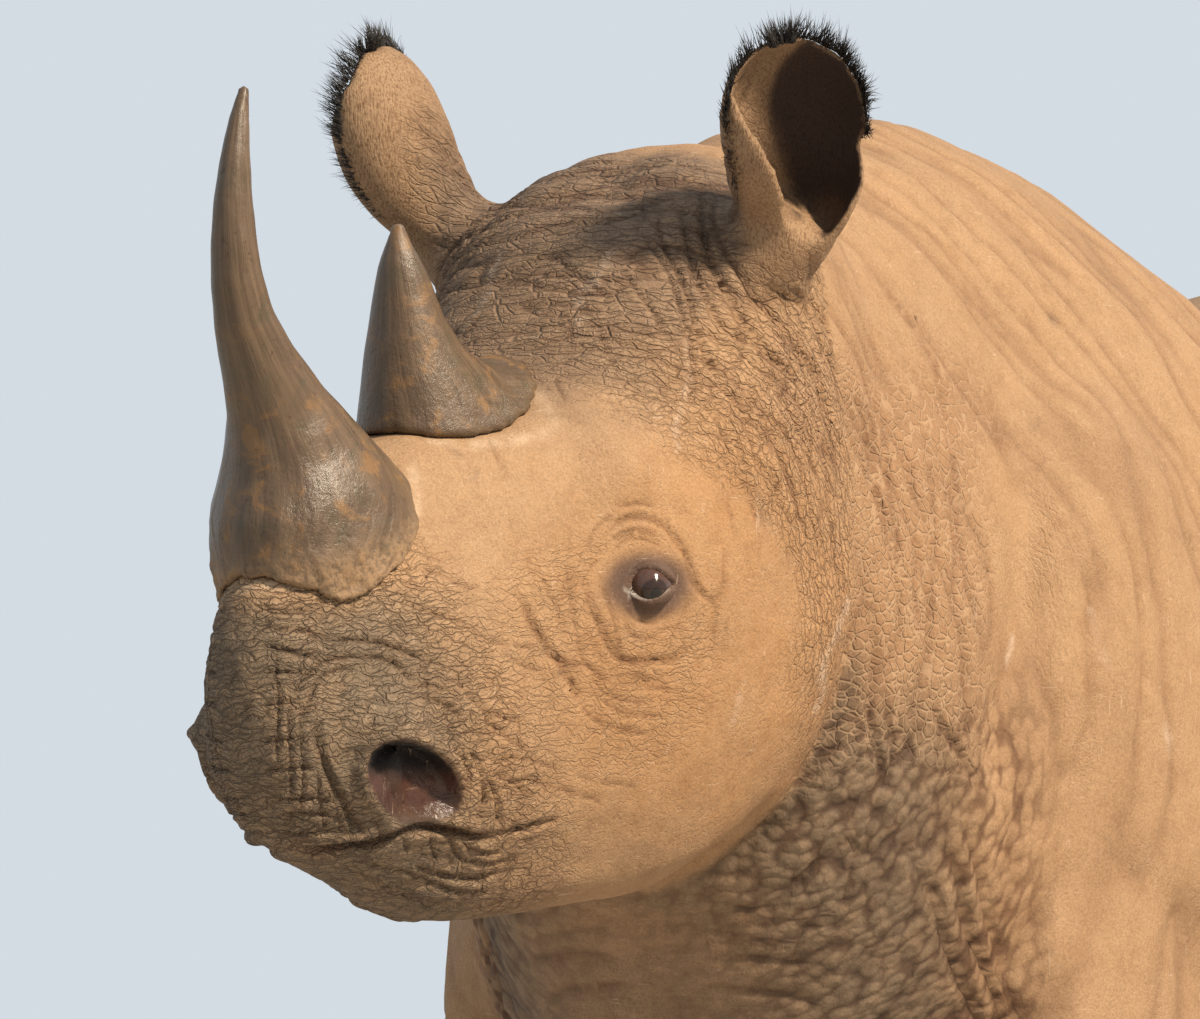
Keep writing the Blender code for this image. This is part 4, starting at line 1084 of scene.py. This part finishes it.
def hideMaterial(opts):
    material, tree = newMaterial("hide")
    place = addNode(tree, "ShaderNodeTexCoord").outputs["Object"]
    lie = field(tree, "lie", "Vector")
    tint = field(tree, "hideTint", "Color")
    creaseShade, cells = field(tree, "creaseShade"), field(tree, "cells")
    pebbles, wet, furred, furrows = field(tree, "pebbles"), field(tree, "wet"), field(tree, "furred"), field(tree,
            "furrows")

    wander = addNode(tree, "ShaderNodeTexNoise", {"Vector": lie, "Scale": 38.0, "Detail": 2.0}).outputs["Color"]
    shift = addNode(tree, "ShaderNodeVectorMath", {0: wander, 1: (0.5, 0.5, 0.5)}, operation="SUBTRACT").outputs[0]
    shift = addNode(tree, "ShaderNodeVectorMath", {0: shift, "Scale": 0.010}, operation="SCALE").outputs[0]
    bent = addNode(tree, "ShaderNodeVectorMath", {0: lie, 1: shift}, operation="ADD").outputs[0]

    # a net of cracks between flat raised cells, longer along the folds
    longCells = scaled(tree, bent, (1.0, 0.48, 0.62))
    net = cellEdges(tree, longCells, 1 / opts["cellSize"], 0.9)
    netLine = ranged(tree, net, 0.15, 0.02)
    smallNet = cellEdges(tree, scaled(tree, place, (1, 1, 1)), 1 / 0.0046, 1.0)
    smallLine = ranged(tree, smallNet, 0.16, 0.0)
    patchy = noise(tree, place, 14.0, 3.0, 0.6)
    smallShare = ranged(tree, patchy, 0.42, 0.62)

    # pebbled hide in the throat and low on the neck
    pebble = cellCentres(tree, scaled(tree, bent, (1.0, 0.42, 0.52)), 1 / opts["pebbleSize"], 1.0, 0.30)

    # fine folds that follow the lie
    foldNoise = noise(tree, scaled(tree, bent, (1.0, 0.14, 0.2)), 150.0, 3.0, 0.55)
    foldLine = ranged(tree, maths(tree, "ABSOLUTE", maths(tree, "SUBTRACT", foldNoise, 0.5)), 0.05, 0.0)
    fineFold = noise(tree, scaled(tree, place, (1.0, 1.0, 1.0)), 210.0, 4.0, 0.6)

    # thin pale scratches, lying two ways
    scratchA = noise(tree, scaled(tree, place, (34.0, 34.0, 3.0), (0.35, 0.2, 0)), 7.0, 4.0, 0.7)
    scratchB = noise(tree, scaled(tree, place, (5.0, 5.0, 44.0), (0.2, 0.5, 0.1)), 7.0, 4.0, 0.7)
    scratch = maths(tree, "MAXIMUM", ranged(tree, scratchA, 0.63, 0.72), ranged(tree, scratchB, 0.64, 0.73))

    mottle = noise(tree, place, 55.0, 5.0, 0.65)
    speck = noise(tree, place, 520.0, 3.0, 0.6)

    dusty = field(tree, "dusty")
    dustShare = times(tree, ranged(tree, mottle, 0.40, 0.72, 0.0, 0.26), dusty)
    colour = mixed(tree, dustShare, tint, opts["dust"])
    darker = darkened(tree, colour, (0.74, 0.66, 0.60))
    colour = mixed(tree, ranged(tree, mottle, 0.50, 0.28, 0.0, 0.42), colour, darker)
    grainShade = ranged(tree, speck, 0.30, 0.70, 0.86, 1.12)
    grainColour = addNode(tree, "ShaderNodeCombineColor", {0: grainShade, 1: grainShade, 2: grainShade}).outputs[0]
    colour = mixed(tree, 1.0, colour, grainColour, "MULTIPLY")
    cellDark = darkened(tree, colour, (0.74, 0.62, 0.54))
    colour = mixed(tree, times(tree, cells, 0.50), colour, cellDark)
    colour = mixed(tree, times(tree, times(tree, netLine, cells), 0.46), colour, opts["crack"])
    plain = maths(tree, "SUBTRACT", 1.0, maths(tree, "MAXIMUM", pebbles, furred))
    smallAll = times(tree, times(tree, smallLine, smallShare), times(tree, plain, dusty))
    colour = mixed(tree, times(tree, smallAll, 0.30), colour, opts["crack"])
    colour = mixed(tree, times(tree, times(tree, scratch, plain), 0.42), colour, opts["scar"])
    # wandering furrows on the muzzle, brow and legs, darkened in their hollows as painted shade
    drift = addNode(tree, "ShaderNodeTexNoise", {"Vector": place, "Scale": 45.0, "Detail": 4.0}).outputs["Color"]
    drift = addNode(tree, "ShaderNodeVectorMath", {0: drift, 1: (0.5, 0.5, 0.5)}, operation="SUBTRACT").outputs[0]
    drift = addNode(tree, "ShaderNodeVectorMath", {0: drift, "Scale": 0.020}, operation="SCALE").outputs[0]
    drifted = addNode(tree, "ShaderNodeVectorMath", {0: place, 1: drift}, operation="ADD").outputs[0]
    furrowA = ranged(tree, cellEdges(tree, scaled(tree, drifted, (0.55, 0.55, 2.0)), 1 / 0.0125, 1.0), 0.085, 0.0)
    ringed = field(tree, "ringed")
    furrowB = ranged(tree, cellEdges(tree, scaled(tree, drifted, (0.55, 0.55, 1.7)), 1 / 0.0058, 1.0), 0.10, 0.0)
    furrow = times(tree, maths(tree, "MAXIMUM", furrowA, times(tree, furrowB, 0.5)), furrows)
    ringA = ranged(tree, cellEdges(tree, scaled(tree, bent, (1.7, 0.30, 0.45)), 1 / 0.0120, 1.0), 0.085, 0.0)
    ringB = ranged(tree, cellEdges(tree, scaled(tree, bent, (1.5, 0.36, 0.50)), 1 / 0.0056, 1.0), 0.10, 0.0)
    ring = times(tree, maths(tree, "MAXIMUM", ringA, times(tree, ringB, 0.5)), ringed)
    furrow = times(tree, maths(tree, "MAXIMUM", furrow, ring), dusty)
    furrowShade = darkened(tree, colour, (0.46, 0.36, 0.29))
    colour = mixed(tree, times(tree, furrow, ranged(tree, patchy, 0.38, 0.62, 0.15, 0.72)), colour, furrowShade)
    # painted shade: the sunken gaps between the pebbles are darkened
    pebbleGapShade = darkened(tree, colour, (0.34, 0.24, 0.18))
    colour = mixed(tree, times(tree, pebbles, ranged(tree, pebble, 0.42, 0.78, 0.0, 0.80)), colour, pebbleGapShade)
    # painted shade: the hide is darkened in its creases
    paintedCreaseShade = darkened(tree, colour, (0.34, 0.23, 0.17))
    colour = mixed(tree, creaseShade, colour, paintedCreaseShade)
    furLine = noise(tree, scaled(tree, place, (1.0, 1.0, 0.22)), 700.0, 3.0, 0.6)
    furDark = darkened(tree, colour, (0.60, 0.52, 0.46))
    colour = mixed(tree, times(tree, furred, ranged(tree, furLine, 0.52, 0.38)), colour, furDark)

    normal = bumped(tree, mottle, 0.5, 0.0016)
    normal = bumped(tree, fineFold, 0.55, 0.0012, normal)
    normal = bumped(tree, speck, 0.5, 0.0005, normal)
    normal = bumped(tree, times(tree, foldLine, plain), 0.35, -0.0010, normal)
    normal = bumped(tree, times(tree, smallAll, -1.0), 0.4, 0.0007, normal)
    normal = bumped(tree, furrow, 1.0, -0.0018, normal)
    normal = bumped(tree, times(tree, netLine, cells), 0.8, -0.0012, normal)
    normal = bumped(tree, times(tree, pebble, pebbles), 0.9, -0.0036, normal)
    normal = bumped(tree, times(tree, furLine, furred), 0.8, 0.0012, normal)
    rough = ranged(tree, wet, 0.0, 1.0, 0.78, 0.34)
    surface(tree, colour, rough, normal, Specular_IOR_Level=0.35)
    return material


eyeLook = {"iris": (0.012, 0.006, 0.004), "pupil": (0.001, 0.001, 0.001), "white": (0.060, 0.034, 0.024),
        "irisRadius": 0.0105, "pupilRadius": 0.0042}


def eyeMaterial(opts):
    material, tree = newMaterial("eye")
    reach = field(tree, "gaze")
    fibres = noise(tree, scaled(tree, addNode(tree, "ShaderNodeTexCoord").outputs["Object"], (1, 1, 1)), 900.0,
            3.0, 0.6)
    iris = mixed(tree, fibres, opts["iris"], (0.034, 0.017, 0.010))
    colour = mixed(tree, ranged(tree, reach, opts["pupilRadius"] + 0.0006, opts["pupilRadius"]), iris,
            opts["pupil"])
    veins = noise(tree, addNode(tree, "ShaderNodeTexCoord").outputs["Object"], 420.0, 4.0, 0.7, 1.5)
    white = mixed(tree, ranged(tree, veins, 0.52, 0.60), opts["white"], (0.060, 0.016, 0.011))
    colour = mixed(tree, ranged(tree, reach, opts["irisRadius"] - 0.0008, opts["irisRadius"] + 0.0008), colour,
            white)
    surface(tree, colour, 0.12, bumped(tree, veins, 0.05, 0.0003), Coat_Weight=0.35, Coat_Roughness=0.04,
            Specular_IOR_Level=0.25)
    return material


hornLook = {"dark": (0.036, 0.022, 0.012), "brown": (0.070, 0.043, 0.024), "pale": (0.112, 0.073, 0.042),
        "ochre": (0.184, 0.094, 0.030), "crust": (0.240, 0.148, 0.077)}


def hornMaterial(opts):
    material, tree = newMaterial("horn")
    place = addNode(tree, "ShaderNodeTexCoord").outputs["Object"]
    grain = field(tree, "grain", "Vector")  # round, up the horn, and share of its height
    rise = addNode(tree, "ShaderNodeSeparateXYZ", {0: grain}).outputs[2]
    streak = noise(tree, scaled(tree, grain, (1.0, 0.06, 0.0)), 420.0, 4.0, 0.6)
    broad = noise(tree, scaled(tree, grain, (1.0, 0.12, 0.0)), 60.0, 4.0, 0.6)
    mottle = noise(tree, place, 42.0, 5.0, 0.62, 0.4)
    colour = mixed(tree, ranged(tree, broad, 0.34, 0.66), opts["brown"], opts["pale"])
    colour = mixed(tree, ranged(tree, streak, 0.50, 0.36, 0.0, 0.35), colour, opts["dark"])
    ochreShare = times(tree, ranged(tree, mottle, 0.52, 0.66), ranged(tree, rise, 0.75, 0.15))
    colour = mixed(tree, times(tree, ochreShare, 0.7), colour, opts["ochre"])
    greenShare = times(tree, ranged(tree, mottle, 0.48, 0.34), 0.45)
    colour = mixed(tree, greenShare, colour, (0.056, 0.048, 0.026))
    fleck = noise(tree, place, 190.0, 5.0, 0.7)
    crusty = times(tree, ranged(tree, rise, 0.11, 0.0), ranged(tree, fleck, 0.40, 0.60, 0.35, 1.0))
    colour = mixed(tree, crusty, colour, opts["crust"])
    pitted = ranged(tree, fleck, 0.42, 0.28)
    dark = darkened(tree, colour, (0.42, 0.33, 0.27))
    colour = mixed(tree, times(tree, pitted, 0.8), colour, dark)
    rough = maths(tree, "ADD", ranged(tree, mottle, 0.3, 0.7, 0.26, 0.42), times(tree, crusty, 0.4))
    normal = bumped(tree, streak, 0.35, 0.0010)
    normal = bumped(tree, mottle, 0.35, 0.0020, normal)
    normal = bumped(tree, fleck, ranged(tree, rise, 0.45, 0.02, 0.12, 1.0), 0.0014, normal)
    surface(tree, colour, rough, normal, Specular_IOR_Level=0.40)
    return material


nailLook = {"base": (0.130, 0.100, 0.075), "pale": (0.230, 0.185, 0.140)}


def nailMaterial(opts):
    material, tree = newMaterial("nail")
    place = addNode(tree, "ShaderNodeTexCoord").outputs["Object"]
    lines = noise(tree, scaled(tree, place, (1.0, 1.0, 0.10)), 260.0, 4.0, 0.6)
    rings = noise(tree, scaled(tree, place, (0.08, 0.08, 1.0)), 160.0, 3.0, 0.6)
    mud = noise(tree, place, 45.0, 5.0, 0.65)
    colour = mixed(tree, ranged(tree, lines, 0.35, 0.65), opts["base"], opts["pale"])
    colour = mixed(tree, ranged(tree, mud, 0.50, 0.62, 0.0, 0.8), colour, (0.240, 0.165, 0.105))
    normal = bumped(tree, lines, 0.5, 0.0014)
    normal = bumped(tree, rings, 0.4, 0.0012, normal)
    surface(tree, colour, ranged(tree, mud, 0.35, 0.65, 0.45, 0.75), normal)
    return material


def hairMaterial(name, root, tip):
    material, tree = newMaterial(name)
    place = addNode(tree, "ShaderNodeTexCoord").outputs["Object"]
    along = field(tree, "along")
    colour = mixed(tree, along, root, tip)
    vary = noise(tree, place, 160.0, 2.0, 0.5)
    colour = mixed(tree, ranged(tree, vary, 0.40, 0.70, 0.0, 0.5), colour, tuple(v * 2.2 for v in root))
    surface(tree, colour, ranged(tree, vary, 0.3, 0.7, 0.42, 0.62), Specular_IOR_Level=0.35)
    return material


# eyeballs, with the cornea standing a little proud

def makeEye(side):
    sign = sides[side]
    centre = eyeCentre(sign)
    gaze = headTurn.T @ np.array([0.66, 0.06, 0.75 * sign])
    gaze = gaze / np.linalg.norm(gaze)
    ball = bmesh.new()
    bmesh.ops.create_uvsphere(ball, u_segments=64, v_segments=40, radius=eyes["radius"])
    turn = Vector((0, 0, 1)).rotation_difference(Vector(gaze)).to_matrix()
    for vert in ball.verts:
        reach = math.hypot(vert.co.x, vert.co.y)
        if vert.co.z > 0:
            vert.co.z += 0.0016 * float(step(0.0125, 0.004, np.array(reach)))
    bmesh.ops.rotate(ball, verts=ball.verts, cent=(0, 0, 0), matrix=turn)
    bmesh.ops.translate(ball, verts=ball.verts, vec=Vector(centre))
    mesh = bpy.data.meshes.new(f"eyeball_{side}")
    ball.to_mesh(mesh)
    ball.free()
    mesh.shade_smooth()
    spots = coordsOf(mesh) - centre
    ahead = spots @ gaze
    reach = np.linalg.norm(spots - ahead[:, None] * gaze, axis=1)
    putField(mesh, "gaze", np.where(ahead > 0, reach, 0.03))
    return newObject(f"eyeball_{side}", mesh)


# horns, smoothed from their solids and given a fibrous foot

horns = {
    "voxel": 0.0028,
    "rounds": 34,
    "horn_front": {"tan": 1.0, "foot": (0.461, 0.060), "tip": (0.331, 0.399)},
    "horn_rear": {"tan": 0.36, "foot": (0.274, -0.012), "tip": (0.230, 0.199)},
}


def makeHorn(node, opts):
    part = bmesh.new()
    part.from_mesh(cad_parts[node].data)
    bmesh.ops.remove_doubles(part, verts=part.verts, dist=2e-5)
    mesh = bpy.data.meshes.new(node)
    part.to_mesh(mesh)
    part.free()
    rough = newObject("hornRough", mesh)
    join = rough.modifiers.new("join", "REMESH")
    join.mode = "VOXEL"
    join.voxel_size = opts["voxel"]
    mesh = applied(rough)
    start, edges = coordsOf(mesh), edgesOf(mesh)
    moved = spread(start, edges, opts["rounds"], 0.55)
    setCoords(mesh, moved)
    way = normalsOf(mesh)
    lost = spread(((start - moved) * way).sum(axis=1), edges, opts["rounds"] // 2, 0.5)
    moved = moved + way * lost[:, None]
    setCoords(mesh, moved)
    own = inHead(moved)
    foot, tip = np.array(opts[node]["foot"]), np.array(opts[node]["tip"])
    axis = (tip - foot) / np.linalg.norm(tip - foot)
    rise = (own[:, :2] - foot) @ axis
    share = np.clip(rise / np.linalg.norm(tip - foot), 0, 1)
    bow = (own[:, :2] - foot) @ np.array([axis[1], -axis[0]])
    middle = np.array([np.median(bow[(share > low) & (share <= low + 0.1)])
            if np.any((share > low) & (share <= low + 0.1)) else 0 for low in np.arange(0, 1, 0.1)])
    round_ = np.arctan2(own[:, 2], bow - np.interp(share, np.arange(0.05, 1, 0.1), middle))
    grain = np.stack([round_ * 0.06, rise, share * opts[node]["tan"]], axis=1)
    low = np.clip(1 - share / 0.22, 0, 1)
    fibre = noiseAt(np.stack([round_ * 0.06, rise * 0.16, np.zeros(len(rise))], axis=1), 0.004, 41)
    lump = noiseAt(moved, 0.020, 42)
    grit = noiseAt(moved, 0.007, 43)
    height = 0.0008 * lump * (1 - 0.6 * share) + 0.0010 * fibre * low + 0.0016 * grit * low ** 2
    moved = moved + normalsOf(mesh) * height[:, None]
    setCoords(mesh, moved)
    putField(mesh, "grain", grain, "FLOAT_VECTOR")
    mesh.shade_smooth()
    mesh.name = node + "_keratin"
    return newObject(node + "_keratin", mesh)


# nails, rounded and ridged

def makeNails(foot, rounds=6):
    made = bmesh.new()
    for toe in ("inner", "middle", "outer"):
        part = bmesh.new()
        part.from_mesh(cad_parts[f"nail_{foot}_{toe}"].data)
        bmesh.ops.remove_doubles(part, verts=part.verts, dist=2e-5)
        mesh = bpy.data.meshes.new("nail")
        part.to_mesh(mesh)
        part.free()
        rough = newObject("nailRough", mesh)
        join = rough.modifiers.new("join", "REMESH")
        join.mode = "VOXEL"
        join.voxel_size = 0.0026
        mesh = applied(rough)
        spots = spread(coordsOf(mesh), edgesOf(mesh), rounds, 0.5)
        setCoords(mesh, spots)
        way = normalsOf(mesh)
        ring = noiseAt(spots * (0.2, 0.2, 1), 0.006, 51) * 0.0007
        setCoords(mesh, spots + way * (ring + 0.0008)[:, None])
        made.from_mesh(mesh)
        bpy.data.meshes.remove(mesh)
    mesh = bpy.data.meshes.new(f"nails_{foot}")
    made.to_mesh(mesh)
    made.free()
    mesh.shade_smooth()
    return newObject(f"nails_{foot}", mesh)


# hair: each one a thin tapering spike, joined in one mesh with its root's place kept in OFBake

def spikes(name, roots, bends=4):
    coat = bmesh.new()
    lay = coat.loops.layers.uv.new("OFBake")
    values = []
    for root in roots:
        start, way = Vector(root["at"]), Vector(root["way"]).normalized()
        sag = Vector(root["sag"])
        across = way.cross(Vector((0.31, 0.77, 0.55))).normalized()
        upward = way.cross(across)
        rings = []
        for i in range(bends):
            t = i / bends
            centre = start + way * (root["length"] * t) + sag * (t * t)
            radius = root["radius"] * (1 - 0.75 * t)
            ring = [coat.verts.new(centre + (across * math.cos(a) + upward * math.sin(a)) * radius) for a in (0.0,
                    2.094, 4.189)]
            rings.append(ring)
            values += [t] * 3
        tip = coat.verts.new(start + way * root["length"] + sag)
        values.append(1.0)
        faces = []
        for low, high in zip(rings[:-1], rings[1:]):
            for k in range(3):
                faces.append(coat.faces.new((low[k], low[(k + 1) % 3], high[(k + 1) % 3], high[k])))
        for k in range(3):
            faces.append(coat.faces.new((rings[-1][k], rings[-1][(k + 1) % 3], tip)))
        faces.append(coat.faces.new((rings[0][2], rings[0][1], rings[0][0])))
        u, v = root["patch"]
        for face in faces:
            for k, loop in enumerate(face.loops):
                loop[lay].uv = (u + 0.0015 * math.cos(2.1 * k), v + 0.0015 * math.sin(2.1 * k))
    mesh = bpy.data.meshes.new(name)
    coat.to_mesh(mesh)
    coat.free()
    putField(mesh, "along", values)
    mesh.shade_smooth()
    return newObject(name, mesh)


fringe = {"count": 1500, "length": 0.019, "radius": 0.00042, "seed": 5, "sunk": 0.0045, "tip": 260}


def makeFringe(side, opts):
    random = np.random.default_rng(opts["seed"] + (side == "left"))
    front, rear = earRim(side, True), earRim(side, False)
    roots = []
    for rim, count, low, patchLow in ((front, opts["count"] // 2, 0.46, 0.02),
            (rear, opts["count"] // 2, 0.62, 0.52)):
        shares = np.array([row[0] for row in rim])
        for _ in range(count):
            share = low + (1 - low) * random.random() ** 0.85
            i = int(np.clip(np.searchsorted(shares, share), 1, len(rim) - 1))
            t = (share - shares[i - 1]) / (shares[i] - shares[i - 1])
            a, b = rim[i - 1], rim[i]
            at = a[1] + (b[1] - a[1]) * t
            way, axis, mouth = a[2], a[3], a[4]
            fullness = float(step(low - 0.02, low + 0.14, np.array(share)))
            spread_ = random.normal(0, 0.20, 3)
            upward = 0.35 + 0.9 * (share - low) / (1 - low)
            way = way + axis * upward - mouth * 0.15 + spread_
            length = opts["length"] * (0.45 + 0.75 * random.random()) * (0.45 + 0.55 * fullness)
            clump = noiseAt(np.array([at * 1.0]), 0.012, 61)[0]
            length *= 1 + 0.5 * clump
            at = at - a[2] * opts["sunk"] + mouth * random.normal(0, 0.0016)
            roots.append({"at": at, "way": way, "length": length,
                    "radius": opts["radius"] * (0.7 + 0.6 * random.random()),
                          "sag": axis * 0.004 * random.normal() + mouth * 0.003 * random.normal(),
                          "patch": (patchLow + 0.44 * (share - low) / (1 - low), 0.05 + 0.9 * random.random())})
    top = earSection(side, 1.0)
    for _ in range(opts["tip"]):
        across = random.random() * 2 - 1
        at, axis = earSpot(top, across), top[1]
        out = (at - top[0]) / np.linalg.norm(at - top[0])
        length = opts["length"] * (0.45 + 0.75 * random.random())
        roots.append({"at": at - axis * opts["sunk"] + out * random.normal(0, 0.0014),
                "way": axis + out * 0.3 + random.normal(0, 0.22, 3), "length": length,
                      "radius": opts["radius"] * (0.7 + 0.6 * random.random()),
                          "sag": axis * 0.003 * random.normal(), "patch": (0.96 + 0.03 * random.random(),
                          0.05 + 0.9 * (across + 1) / 2)})
    return spikes(f"fringe_{side}", roots)


tailHair = {"count": 900, "length": 0.12, "radius": 0.0006, "seed": 9, "x": 1.371, "low": 0.585, "high": 0.80}


def makeTailHair(opts):
    random = np.random.default_rng(opts["seed"])
    roots = []
    for _ in range(opts["count"]):
        z = opts["low"] + (opts["high"] - opts["low"]) * random.random()
        turn = random.choice((0.0, math.pi)) + random.normal(0, 0.35)
        radius = 0.013 + 0.004 * random.random()
        at = (opts["x"] + radius * math.cos(turn), radius * math.sin(turn) * 0.8, z)
        way = (math.cos(turn) * 0.45, math.sin(turn) * 0.45 + random.normal(0, 0.06), -1 + random.normal(0, 0.1))
        roots.append({"at": at, "way": way, "length": opts["length"] * (0.4 + 0.7 * random.random()),
                "radius": opts["radius"],
                      "sag": (0, 0, -0.01), "patch": (0.05 + 0.9 * (z - opts["low"])
                          / (opts["high"] - opts["low"]), 0.02 + 0.96 * ((turn + math.pi) % (2 * math.pi))
                          / (2 * math.pi))})
    return spikes("tail_hair", roots, 3)


# floor and lights

floorLook = {"radius": 25.0, "segments": 96, "low": (0.46, 0.42, 0.37), "high": (0.52, 0.48, 0.43)}
sky = {"tint": (0.80, 0.87, 0.94, 1), "strength": 0.82}
light = {"turn": 54, "rise": 43, "far": 9.0, "size": 1.1, "power": 1850, "tint": (1.0, 0.86, 0.68)}


def setStage():
    floor = bmesh.new()
    bmesh.ops.create_circle(floor, segments=floorLook["segments"], radius=floorLook["radius"], cap_ends=True)
    mesh = bpy.data.meshes.new("floor")
    floor.to_mesh(mesh)
    floor.free()
    made = newObject("floor", mesh)
    material, tree = newMaterial("floor")
    speck = noise(tree, addNode(tree, "ShaderNodeTexCoord").outputs["Object"], 6.0, 4.0, 0.6)
    surface(tree, mixed(tree, speck, floorLook["low"], floorLook["high"]), 0.8)
    mesh.materials.append(material)

    world = bpy.data.worlds.new("world")
    scene.world = world
    world.use_nodes = True
    world.node_tree.nodes["Background"].inputs["Color"].default_value = sky["tint"]
    world.node_tree.nodes["Background"].inputs["Strength"].default_value = sky["strength"]

    aim = Vector((-0.95, -0.05, 1.15))
    turn = math.radians(camera["turn"])
    back = Vector((math.sin(turn), -math.cos(turn), 0))
    right = Vector((math.cos(turn), math.sin(turn), 0))
    a, e = math.radians(light["turn"]), math.radians(light["rise"])
    way = back * (math.cos(a) * math.cos(e)) + right * (math.sin(a) * math.cos(e)) + Vector((0, 0, math.sin(e)))
    data = bpy.data.lights.new("key", "AREA")
    data.shape = "DISK"
    data.size = light["size"]
    data.energy = light["power"]
    data.color = light["tint"]
    lamp = bpy.data.objects.new("key", data)
    scene.collection.objects.link(lamp)
    lamp.location = aim + way * light["far"]
    lamp.rotation_euler = (-way).to_track_quat("-Z", "Y").to_euler()


# the whole animal

setCamera(camera)
skin = makeSkin(skinShape)
paintSkin(skin)
skin.data.materials.append(hideMaterial(hide))
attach(skin, "root")
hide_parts(*fleshNodes)
print("skin painted:", len(skin.data.polygons), "faces")

eyeMat = eyeMaterial(eyeLook)
for side in sides:
    ball = makeEye(side)
    ball.data.materials.append(eyeMat)
    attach(ball, "root")
    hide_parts(f"eye_{side}")
print("eyes made")

hornMat = hornMaterial(hornLook)
for node in ("horn_front", "horn_rear"):
    made = makeHorn(node, horns)
    made.data.materials.append(hornMat)
    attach(made, "root")
    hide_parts(node)
print("horns made")

nailMat = nailMaterial(nailLook)
for foot in ("forefoot_left", "forefoot_right", "hindfoot_left", "hindfoot_right"):
    made = makeNails(foot)
    made.data.materials.append(nailMat)
    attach(made, "root")
    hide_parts(*[f"nail_{foot}_{toe}" for toe in ("inner", "middle", "outer")])
print("nails made")

hairMat = hairMaterial("hair", (0.012, 0.010, 0.009), (0.020, 0.018, 0.017))
for side in sides:
    made = makeFringe(side, fringe)
    made.data.materials.append(hairMat)
    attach(made, "root")
made = makeTailHair(tailHair)
made.data.materials.append(hairMat)
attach(made, "root")
print("hair made")

setStage()
